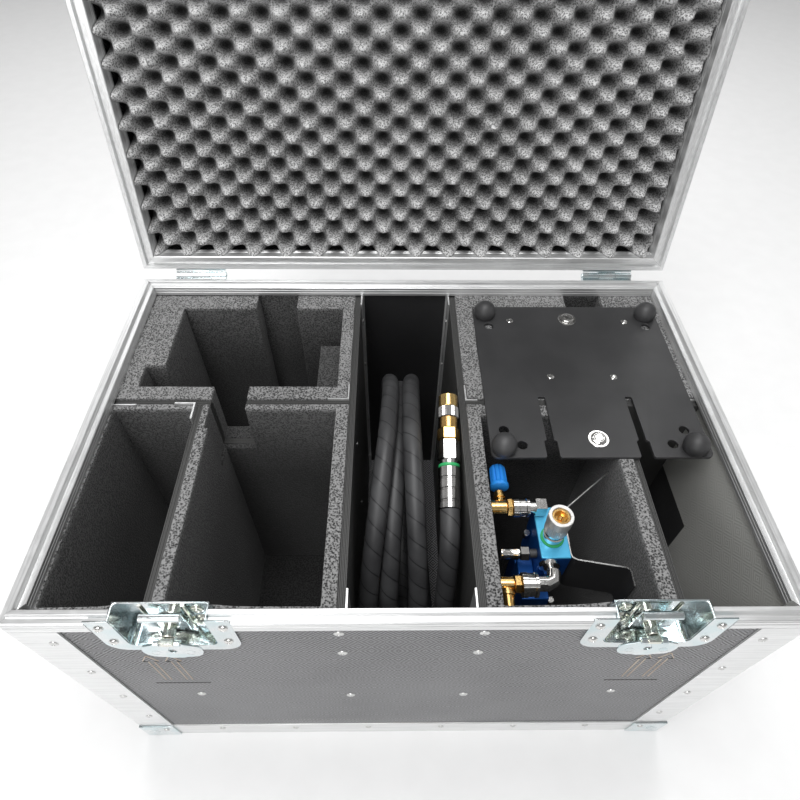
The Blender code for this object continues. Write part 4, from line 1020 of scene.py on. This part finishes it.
def rims():
    """Tongue and groove rims of body and lid: mitred lengths, the front one broken by the two latches."""
    flange, cup, mitre = FLANGE_HALF + GAP, DISH_HALF + SHEET + GAP, 0.00012
    for level, sign, body, sides in (("body", 1, "case_body", ALUMINIUM_Y), ("lid", -1, "lid", ALUMINIUM_Z)):
        full, leg = rim_outline(sign), sign < 0
        front, part = rim_outline(sign, inner_leg=leg), rim_outline(sign, outer=False, inner_leg=leg)
        frame_bars = Solid()
        for axis, end, index in (("y", 1, 0), ("x", -1, 1), ("x", 1, 1)):
            frame_bars.index = index
            rings = []
            for way in (-1, 1):
                if axis == "y":
                    rings.append([(way * (HX - n - mitre), HY - n, z) for n, z in full])
                else:
                    rings.append([(end * (HX - n), way * (HY - n - mitre), z) for n, z in full])
            frame_bars.skin(rings)
        frame_bars.index = 0
        for sx in (-1, 1):
            stop = sx * (LATCH_X + flange)
            frame_bars.skin([[(sx * (HX - n - mitre), -HY + n, z) for n, z in front],
                             [(stop, -HY + n, z) for n, z in front]])
            frame_bars.skin([[(x, -HY + n, z) for n, z in part] for x in (stop, sx * (LATCH_X + cup))])
        piece(level + "_rim_frame", frame_bars, body, [ALUMINIUM, sides], level + "_rim",
              lid=level == "lid", angle=25)
        bar = Solid()
        bar.skin([[(x, -HY + n, z) for n, z in front] for x in (-LATCH_X + flange, LATCH_X - flange)])
        for sx in (-1, 1):
            bar.skin([[(sx * (LATCH_X - reach), -HY + n, z) for n, z in part] for reach in (flange, cup)])
        piece(level + "_rim_bar", bar, body, ALUMINIUM, level + "_rim_front", lid=level == "lid",
              angle=25)


def finish_node(name, look, edge=0.0):
    """Gives a CAD node that stays its real material and broken edges."""
    node = frame["nodes"][name]
    node.data.materials.clear()
    node.data.materials.append(look)
    if edge:
        bevel(node, edge)


def panels_and_edges():
    """The CAD nodes that stay: panels, edge frames, ball corners, hinges, handles and keepers."""
    for name in ("front_panel", "back_panel", "left_panel", "right_panel"):
        finish_node(name, LAMINATE)
    for name in ("lid_top_panel", "lid_left_panel", "lid_right_panel"):
        finish_node(name, LAMINATE_LID)
    for name in ("lid_front_panel", "lid_back_panel", "bottom_panel"):
        finish_node(name, LAMINATE_FLAT)
    for name in ("body_edge_frame", "lid_edge_frame"):
        finish_node(name, ALUMINIUM, 0.0005)
    for level in ("foot", "lid"):
        for where in ("front_left", "front_right", "back_left", "back_right"):
            finish_node("%s_corner_%s" % (level, where), ZINC, 0.0006)
    for side in ("left", "right"):
        finish_node("hinge_leaf_body_" + side, ZINC, 0.0003)
        finish_node("hinge_leaf_lid_" + side, ZINC, 0.0003)
        finish_node("handle_dish_" + side, PLASTIC, 0.0008)
        finish_node("latch_keeper_" + side, ZINC, 0.0004)
        finish_node("handle_bail_" + side, STEEL, 0.0003)


def rivet_rows():
    """Blind rivets of the shell: in the panels, the edge angles, the corners, the hinges and the handles."""
    body, lid = Solid(), Solid()
    face = -HY + 0.0018
    for sx in (-1, 1):
        for x, drops in ((0.0557, (0.031, 0.077, 0.207)), (0.200, (0.067, 0.198))):
            for drop in drops:
                body.rivet((sx * x, face, RIM_TOP - drop), (0, -1, 0), 0.0042, 0.0014)
                body.rivet((sx * x, HY - 0.0018, RIM_TOP - drop), (0, 1, 0), 0.0042, 0.0014)
        body.rivet((sx * (HX - 0.0018), CROSS_Y + 0.0145, RIM_TOP - 0.060), (sx, 0, 0), 0.0042, 0.0014)
    top, low = RIM_TOP + LID_H, 0.024
    for sx in (-1, 1):
        for z in (0.085, 0.165, 0.245, 0.320):
            for sy in (-1, 1):
                body.rivet((sx * (HX - 0.024), sy * HY, z), (0, sy, 0), 0.0036)
                body.rivet((sx * HX, sy * (HY - 0.024), z), (sx, 0, 0), 0.0036)
        for y in (-0.110, 0.0, 0.110):
            body.rivet((sx * HX, y, low), (sx, 0, 0), 0.0036)
            lid.rivet((sx * HX, y, top - low), (sx, 0, 0), 0.0036)
            lid.rivet((sx * (HX - low), y, top), (0, 0, 1), 0.0036)
    for x in (-0.21, -0.126, -0.042, 0.042, 0.126, 0.21):
        for sy in (-1, 1):
            body.rivet((x, sy * HY, low), (0, sy, 0), 0.0036)
            lid.rivet((x, sy * (HY - low), top), (0, 0, 1), 0.0036)
            if sy > 0 or abs(abs(x) - LATCH_X) > 0.055:
                lid.rivet((x, sy * HY, top - low), (0, sy, 0), 0.0036)
    out, reach = ALU + GAP, 0.0265
    for sx in (-1, 1):
        for sy in (-1, 1):
            for group, base, way in ((body, 0.0, 1), (lid, top + out, -1)):
                z = base + way * reach
                group.rivet((sx * (HX - reach), sy * (HY + out), z), (0, sy, 0), 0.0034)
                group.rivet((sx * (HX + out), sy * (HY - reach), z), (sx, 0, 0), 0.0034)
            lid.rivet((sx * (HX - reach), sy * (HY - reach), top + out), (0, 0, 1), 0.0034)
    leaf_y = HY + GAP + ALU
    for side, sx in (("left", -1), ("right", 1)):
        (x0, _, z0), (x1, _, _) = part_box("hinge_leaf_body_" + side)
        for t in (0.18, 0.5, 0.82):
            x = x0 + (x1 - x0) * t
            body.rivet((x, leaf_y, z0 + 0.0075), (0, 1, 0), 0.0034)
            body.rivet((x, leaf_y, z0 + 0.0235), (0, 1, 0), 0.0034)
            for rise in (0.0345, 0.0185):
                lid.rivet((x, leaf_y, HINGE_AT.z + rise), (0, 1, 0), 0.0034)
        (_, y0, z0), (_, y1, z1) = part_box("handle_dish_" + side)
        for y in (y0 + 0.0075, y1 - 0.0075):
            for z in (z0 + 0.0075, z1 - 0.0075):
                body.rivet((sx * (HX - GAP), y, z), (sx, 0, 0), 0.0032)
    piece("body_rivets", body, "case_body", STEEL)
    piece("lid_rivets", lid, "lid", STEEL, lid=True)


def engraved_arrows():
    """This-way-up arrows scored into the front panel beside the latches: a shaft and two barbs each. The
    upright and slanting strokes are pale, the scored core's tan with a painted highlight; the level strokes
    are dark, painted shade in the groove.
    """
    lit_strokes, shaded_strokes = Solid(), Solid()
    face, radius, low, high, tip, ground = -HY + 0.0018, 0.00045, 0.2155, 0.2680, 0.2825, 0.2046
    half, barb, point = 0.0025, 0.0066, 0.0004

    def line(solid, start, end):
        solid.rod((start[0], face, start[1]), (end[0], face, end[1]), radius, 8, 0.0001)
    for sx in (-1, 1):
        for x in (sx * 0.1987, sx * 0.2178):
            for k in (-1, 1):
                line(lit_strokes, (x + k * half, low), (x + k * half, high))
                line(lit_strokes, (x + k * barb, high + 0.0018), (x + k * point, tip))
                line(shaded_strokes, (x + k * barb, high + 0.0008), (x + k * half, high))
        line(shaded_strokes, (sx * 0.1826, ground), (sx * 0.2325, ground))
    piece("front_panel_arrows", lit_strokes, "case_body", ARROW_HIGHLIGHT)
    piece("front_panel_scores", shaded_strokes, "case_body", ARROW_SHADE)


# ---------------------------------------------------------------- latches

def u_outline(centre, half, top, low, radius):
    """An outline open at the top: down one side, round the bottom corners and up the other."""
    return ([(centre - half, top)] + arc(centre - half + radius, low + radius, radius, 180, 270, 7)
            + arc(centre + half - radius, low + radius, radius, 270, 360, 7) + [(centre + half, top)])


def latch_dish(side, sx):
    """The pressed dish in the front panel: flange, cup with a rolled edge, embossed discs and rivets."""
    x, top, face = sx * LATCH_X, RIM_TOP - 0.0004, -HY + GAP
    dish, discs, rivets = Solid(), Solid(), Solid()
    chamfer, low = 0.016, RIM_TOP - FLANGE_DROP
    rim = u_outline(x, DISH_HALF, top, RIM_TOP - DISH_DROP, 0.006)
    bend_x, bend_z = FLANGE_HALF - chamfer, low + chamfer
    outside = [(x + FLANGE_HALF, top)] + arc(x + bend_x, bend_z, chamfer, 0, -90, 7)
    outside += arc(x - bend_x, bend_z, chamfer, -90, -180, 7) + [(x - FLANGE_HALF, top)]
    dish.prism(rim + outside, "y", face, face + SHEET)
    wall_out = u_outline(x, DISH_HALF + SHEET, top, RIM_TOP - DISH_DROP - SHEET, 0.0068)
    deep = -HY + DISH_DEPTH
    dish.prism(rim + wall_out[::-1], "y", face + SHEET, deep)
    dish.prism(wall_out, "y", deep, deep + SHEET)
    bead_z, half, turn = top - 0.0007, DISH_HALF + SHEET / 2, 0.003
    bend_x, bend_y = half - turn, deep + SHEET / 2 - turn
    bead = arc(x - bend_x, bend_y, turn, 180, 90, 4) + arc(x + bend_x, bend_y, turn, 90, 0, 4)
    bead = [(x - half, face + 0.001)] + bead + [(x + half, face + 0.001)]
    dish.tube([(bx, by, bead_z) for bx, by in bead], 0.0008, 10)
    for dx, drop, radius in ((-0.0245, 0.0110, 0.0052), (-0.0235, 0.0330, 0.0082), (0.0195, 0.0330, 0.0076)):
        place = (x + sx * dx, deep, RIM_TOP - drop)
        embossed = ((0, 1), (0.0012, 0.90), (0.0016, 0.74), (0.0008, 0.62), (0.0008, 0.50), (0.0020, 0.40),
                    (0.0024, 0.16))
        discs.lathe(place, FRONT, [(height, radius * part) for height, part in embossed], 32)
    for dx in (-0.0150, 0.0165):       # pressed ribs beside the draw hook
        discs.tube([(x + sx * dx, deep - 0.0002, RIM_TOP - drop) for drop in (0.004, 0.046)], 0.0014, 10)
    for dx, drop in ((-0.0455, 0.014), (0.0455, 0.014), (-0.0440, 0.0420), (0.0440, 0.0420)):
        rivets.rivet((x + dx, face, RIM_TOP - drop), FRONT, 0.0037, 0.0020)
    rivets.rivet((x + sx * 0.0035, -HY + 0.0018, RIM_TOP - 0.0705), FRONT, 0.0040, 0.0012)
    name = "latch_dish_" + side
    piece(name + "_pressing", dish, "case_body", ZINC, name, edge=0.0003)
    piece(name + "_discs", discs, "case_body", ZINC_WARM, name)
    piece(name + "_rivets", rivets, "case_body", CHROME, name)


def latch_works(side, sx):
    """The spindle, the draw hook and the folding butterfly wing of a latch."""
    x, z = sx * LATCH_X, RIM_TOP - 0.033
    back, pin_y = -HY + DISH_DEPTH - GAP, -HY - 0.004
    spindle = Solid()
    base = [(0, 0.0116), (0.0004, 0.0120), (0.0014, 0.0120), (0.0020, 0.0112), (0.0020, 0.0082),
            (0.0013, 0.0078), (0.0013, 0.0060)]
    stem = [(0, 0.0058), (0.0030, 0.0058), (0.0034, 0.0050), (0.0128, 0.0050), (0.0134, 0.0044)]
    spindle.lathe((x, back, z), FRONT, base, 36)
    spindle.lathe((x, back - 0.0008, z), FRONT, stem, 28)
    spindle.box((x - 0.0050, pin_y - 0.0020, z - 0.0022), (x + 0.0050, -HY - 0.0010, z + 0.0022))
    spindle.rod((x - 0.0105, pin_y, z), (x + 0.0105, pin_y, z), 0.0013, 14, 0.0003)
    spindle.lathe((x, back - 0.0020, z), FRONT, [(0, 0.0076), (0.0010, 0.0076), (0.0010, 0.0066)], 6)
    body = "latch_spindle_" + side
    piece(body + "_turned", spindle, body, ZINC_WARM, body, edge=0.0003)

    y0, top = -HY + 0.0077, RIM_TOP - 0.0030
    curl = [(y0, top - 0.0160), (y0, top - 0.0040)] + arc(y0 - 0.0024, top - 0.0034, 0.0024, 0, 225, 10)
    hook, thick = Solid(), 0.0014
    hook.strip(curl, x, 0.0150, thick)
    for k in (-1, 1):
        hook.strip([(y0, top - drop) for drop in (0.0150, 0.0200, 0.0330)], x + k * 0.0117, 0.0042, thick)
        hook.tube([(x + k * 0.0090, y0 - 0.0007, top - drop) for drop in (0.0060, 0.0150)], 0.0009, 8)
    body = "latch_hook_" + side
    piece(body + "_strip", hook, body, ZINC, body, edge=0.0003, angle=50)

    half = [(0.0100, 0.0000), (0.0125, -0.0030), (0.0168, -0.0046), (0.0208, -0.0070), (0.0232, -0.0120),
            (0.0235, -0.0185), (0.0218, -0.0245), (0.0180, -0.0286), (0.0130, -0.0300), (0.0085, -0.0306),
            (0.0050, -0.0324)]
    outline = [(x + px, z + pz) for px, pz in half] + [(x - px, z + pz) for px, pz in half[::-1]]
    wing = Solid()
    wing.prism(outline, "y", pin_y - 0.0008, pin_y + 0.0008)
    body = "latch_wing_" + side
    obj = piece(body + "_plate", wing, body, ZINC, body)
    eye, gap = Solid(), Solid()
    drop = arc(x, z - 0.0165, 0.0034, -210, 30, 13)
    eye.prism(drop + [(x, z - 0.0075)], "y", pin_y - 0.01, pin_y + 0.01)
    gap.box((x - 0.0056, pin_y - 0.01, z - 0.0042), (x + 0.0056, pin_y + 0.01, z + 0.01))
    carve(obj, [eye, gap])
    bevel(obj, 0.0003)
    ears = Solid()
    for k in (-1, 1):
        barrel = [(0, 0.0025), (0.0003, 0.0028), (0.0041, 0.0028), (0.0044, 0.0025)]
        ears.lathe((x + k * 0.0057, pin_y, z), (k, 0, 0), barrel, 20)
        ears.lathe((x + k * 0.0135, pin_y - 0.0006, z - 0.0195), FRONT,
                   [(0, 0.0042), (0.0006, 0.0034), (0.0009, 0.0014)], 20)
    piece(body + "_ears", ears, body, ZINC, body)


rims()
panels_and_edges()
rivet_rows()
engraved_arrows()
for side_name, side_sign in (("left", -1), ("right", 1)):
    latch_dish(side_name, side_sign)
    latch_works(side_name, side_sign)


# ---------------------------------------------------------------- base plate

def base_plate():
    """The slotted steel plate, stored balls up, with its flange screws, studs and rubber balls."""
    (x0, y0, low), (x1, y1, _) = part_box("base_plate")
    high, r = low + 0.0030, 0.006
    slots, half, mouth, slot_end, mouth_end = (0.1320, 0.2180), 0.0035, 0.0060, 0.0270, y0 + 0.0190
    front = []
    for x in slots:
        side = [(mouth + 0.0015, y0), (mouth, y0 + 0.0015), (mouth, mouth_end - 0.0010),
                (mouth - 0.0010, mouth_end), (half, mouth_end + 0.0008), (half, slot_end - 0.0010),
                (half - 0.0010, slot_end)]
        front += [(x - dx, y) for dx, y in side] + [(x + dx, y) for dx, y in side[::-1]]
    outline = (arc(x1 - r, y1 - r, r, 0, 90, 6) + arc(x0 + r, y1 - r, r, 90, 180, 6)
               + arc(x0 + r, y0 + r, r, 180, 270, 6) + front + arc(x1 - r, y0 + r, r, 270, 360, 6))
    plate = Solid()
    plate.prism(outline, "z", low, high)
    obj = piece("base_plate_sheet", plate, "base_plate", POWDER, "base_plate")
    holes = []
    for x, y in ((0.0910, 0.1290), (0.2635, 0.1280), (0.0900, -0.0142), (0.1050, -0.0316), (0.2604, -0.0143),
                 (0.2449, -0.0306)):
        hole = Solid()
        hole.rod((x, y, low - 0.01), (x, y, high + 0.01), 0.0048, 28)
        holes.append(hole)
    carve(obj, holes)
    bevel(obj, 0.0004)

    balls, ball_r, up = Solid(), 0.0117, 0.0060
    foot = math.degrees(math.asin(-up / ball_r))
    profile = [(up + ball_r * math.sin(t), max(0.0002, ball_r * math.cos(t))) for t in
               (math.radians(foot + (89.5 - foot) * i / 16) for i in range(17))]
    for x, y in ball_places():
        balls.lathe((x, y, high), UP, profile, 36)
    piece("base_plate_balls", balls, "base_plate", RUBBER, "base_plate")

    screws = Solid()
    flange = [(0, 0.0096), (0.0008, 0.0098), (0.0013, 0.0094), (0.0013, 0.0080), (0.0009, 0.0077),
              (0.0009, 0.0074), (0.0026, 0.0068), (0.0032, 0.0055), (0.0032, 0.0042), (0.0030, 0.0038)]
    socket = [(0.0000, 0.0038), (0.0003, 0.0038), (0.0003, 0.0030), (-0.0012, 0.0030)]
    stud = [(0, 0.0036), (0.0007, 0.0036), (0.0012, 0.0030), (0.0014, 0.0016), (0.0011, 0.0013)]
    for x, y, spin in ((0.1787, 0.1395, 0.2), (0.1767, -0.0252, 0.6)):
        screws.lathe((x, y, high), UP, flange, 40)
        screws.lathe((x, y, high + 0.0030), UP, socket, 6, spin)
    for x, y in ((0.1151, 0.1370), (0.2416, 0.1353), (0.1459, 0.0536), (0.2100, 0.0530)):
        screws.lathe((x, y, high), UP, stud, 24)
    piece("base_plate_screws", screws, "base_plate", CHROME, "base_plate", angle=30)


# ---------------------------------------------------------------- valve

def hex_nut(solid, base, along, size, length):
    """A six-sided nut with turned faces."""
    profile = [(0, size * 0.90), (0.0006, size), (length - 0.0006, size), (length, size * 0.90)]
    solid.lathe(base, along, profile, 6)


def coupling_body(solid, base, along, size, length):
    """A quick coupling's shell: collars at both ends and a waisted middle."""
    waist = size * 0.93
    profile = [(0, size * 0.80), (0.0005, size), (length * 0.20, size), (length * 0.24, waist),
               (length * 0.60, waist), (length * 0.64, size), (length - 0.0005, size), (length, size * 0.80)]
    solid.lathe(base, along, profile, 32)


def valve():
    """The valve manifold: blue blocks, brass tees, chrome couplings and elbow, bracket and rod."""
    top, x0, x1, y0, y1 = RIM_TOP - 0.045, 0.1132, 0.1390, -0.1280, -0.0785
    cap, base, brass, chrome, silver, seal = Solid(), Solid(), Solid(), Solid(), Solid(), Solid()
    cap.box((x0, y0, top - 0.0020), (x1, y1, top))
    piece("valve_block_top", cap, "valve", SKY_BLUE, "valve_block", edge=0.0007)
    base.box((x0, y0, top - 0.0350), (x1, y1, top - 0.0020))
    base.box((x0 + 0.0005, y0 + 0.0005, top - 0.0700), (x1 - 0.0005, y1 - 0.0005, top - 0.0352))
    base.box((0.0990, -0.1500, top - 0.0780), (0.1230, -0.1290, top - 0.0350))
    base.box((0.0990, -0.1270, top - 0.0780), (0.1130, -0.1130, top - 0.0340))
    base.box((0.1050, -0.1200, POCKET_FLOOR + 0.0006), (0.1360, -0.0850, top - 0.0703))
    piece("valve_block_lower", base, "valve", BLUE, "valve_block", edge=0.0008)

    x, y = 0.1254, -0.1085             # upright coupling
    seal.lathe((x, y, top), UP, [(0, 0.0102), (0.0006, 0.0104), (0.0012, 0.0100)], 32)
    chrome.lathe((x, y, top + 0.0012), UP,
                 [(0, 0.0086), (0.0006, 0.0090), (0.0070, 0.0090), (0.0078, 0.0080), (0.0135, 0.0080)], 32)
    band = [(0.0147, 0.0090), (0.0154, 0.0100), (0.0266, 0.0100), (0.0274, 0.0090)]
    silver.knurled((x, y, top), UP, band, 84)
    silver.pipe((x, y, top + 0.0275), (x, y, top + 0.0385), 0.0106, 0.0076, 0.0090, 36)
    brass.pipe((x, y, top + 0.0290), (x, y, top + 0.0372), 0.0074, 0.0054, 0.0064, 30)
    brass.lathe((x, y, top + 0.0300), UP, [(0, 0.0022), (0.0045, 0.0022), (0.0058, 0.0008)], 16)

    rear, front, z, z2 = -0.0848, -0.1528, RIM_TOP - 0.0340, RIM_TOP - 0.0400
    chrome.box((0.1128, rear - 0.0040, z - 0.0090), (0.1220, rear + 0.0062, z + 0.0042))
    chrome.rod((0.1127, rear, z), (0.1062, rear, z), 0.0056, 24)
    coupling_body(chrome, (0.1066, rear, z), LEFT, 0.0088, 0.0150)
    hex_nut(brass, (0.0914, rear, z), LEFT, 0.0082, 0.0048)
    brass.rod((0.0865, rear, z), (0.0722, rear, z), 0.0062, 24)
    brass.rod((0.0815, rear + 0.0050, z), (0.0815, rear + 0.0160, z), 0.0042, 22)
    brass.lathe((0.0815, rear + 0.0085, z), BACK,
                [(0, 0.0046), (0.0004, 0.0054), (0.0024, 0.0054), (0.0028, 0.0046)], 24)
    elbow = 0.1192                     # the elbow turns from the block's front to the left
    chrome.lathe((elbow + 0.0020, y0 + 0.0002, top - 0.0100), FRONT,
                 [(0, 0.0084), (0.0005, 0.0090), (0.0038, 0.0090), (0.0044, 0.0080)], 32)
    chrome.tube([(elbow + 0.0020, y0 - 0.0040, top - 0.0100), (elbow + 0.0014, y0 - 0.0120, top - 0.0050),
                 (elbow + 0.0004, front + 0.0080, z2 - 0.0010), (elbow - 0.0014, front + 0.0024, z2),
                 (elbow - 0.0060, front - 0.0002, z2), (elbow - 0.0160, front, z2)], 0.0062, 24)
    hex_nut(chrome, (elbow - 0.0070, front, z2), LEFT, 0.0068, 0.0070)
    coupling_body(chrome, (0.1046, front - 0.0010, z2), LEFT, 0.0102, 0.0138)
    hex_nut(brass, (0.0906, front, z2), LEFT, 0.0078, 0.0056)
    brass.rod((0.0849, front, z2), (0.0722, front, z2), 0.0058, 24)
    brass.rod((0.0788, front - 0.0045, z2), (0.0788, -0.1738, z2), 0.0050, 24)
    brass.lathe((0.0788, front - 0.0075, z2), FRONT,
                [(0, 0.0052), (0.0005, 0.0062), (0.0028, 0.0062), (0.0033, 0.0052)], 24)
    middle, z3 = -0.1168, RIM_TOP - 0.0590
    hex_nut(chrome, (0.1060, middle, z3), LEFT, 0.0066, 0.0082)
    coupling_body(chrome, (0.0976, middle, z3), LEFT, 0.0056, 0.0170)
    screw = [(-0.0060, 0.0026), (0, 0.0026), (0.0004, 0.0034), (0.0024, 0.0034), (0.0030, 0.0026)]
    for x, y, drop in ((0.1075, -0.1310, 0.0330), (0.1095, -0.0920, 0.0250), (0.1260, -0.1480, 0.0440)):
        chrome.lathe((x, y, top - drop), UP, screw, 20)
    pin = Solid()
    pin.rod((0.1131, middle, z3), (0.1061, middle, z3), 0.0040, 20)
    for name, solid, slot, look in (("brass", brass, "brass", BRASS), ("chrome", chrome, "zinc", CHROME),
                                    ("silver", silver, "zinc", SILVER),
                                    ("seal", seal, "brass", GREEN), ("pin", pin, "powder_coat", POWDER)):
        piece("valve_" + name, solid, "valve", look, "valve_block", angle=30)

    bracket = Solid()
    path = [(0.1418, -0.1010), (0.1412, -0.1200), (0.1424, -0.1240), (0.1465, -0.1262), (0.1870, -0.1335),
            (0.1896, -0.1352), (0.1904, -0.1378), (0.1900, -0.1500)]
    bracket.strip(path, top - 0.0345, 0.0263, SHEET, "z")
    piece("valve_bracket", bracket, "valve", POWDER, "valve_block", angle=50)
    lip = Solid()
    lip.strip(path, top - 0.0075, 0.0005, SHEET, "z")
    piece("valve_bracket_edge", lip, "valve", STEEL, "valve_block", angle=50)
    rod = Solid()
    rod.tube([(0.1400, -0.0850, z - 0.0030), (0.1440, -0.0818, z - 0.0024), (0.1660, -0.0640, z - 0.0020),
              (0.1866, -0.0476, z - 0.0016)], 0.0009, 12)
    piece("valve_rod", rod, "valve", STEEL, "valve_block")

    low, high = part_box("valve_knob")
    x, z, shift, slim = (low.x + high.x) / 2 + 0.0008, (low.z + high.z) / 2, 0.0035, 0.86
    knob, rings, count = Solid(), [], 72
    for t, radius in ((0.0, 0.0082), (0.03, 0.0098), (0.16, 0.0100), (0.20, 0.0092), (0.26, 0.0090),
                      (0.80, 0.0088), (0.93, 0.0084), (1.0, 0.0070)):
        ring = []
        for i in range(count):
            angle = 2 * math.pi * i / count
            flute = 0.13 * max(0.0, math.cos(9 * angle)) ** 2 if t > 0.18 else 0.0
            reach = slim * radius * (1 - flute)
            ring.append((x + reach * math.cos(angle), low.y + shift + (high.y - low.y) * t,
                         z + reach * math.sin(angle)))
        rings.append(ring)
    knob.skin(rings)
    piece("valve_knob_fluted", knob, "valve_knob", KNOB_BLUE, "valve_knob", angle=50)


base_plate()
valve()
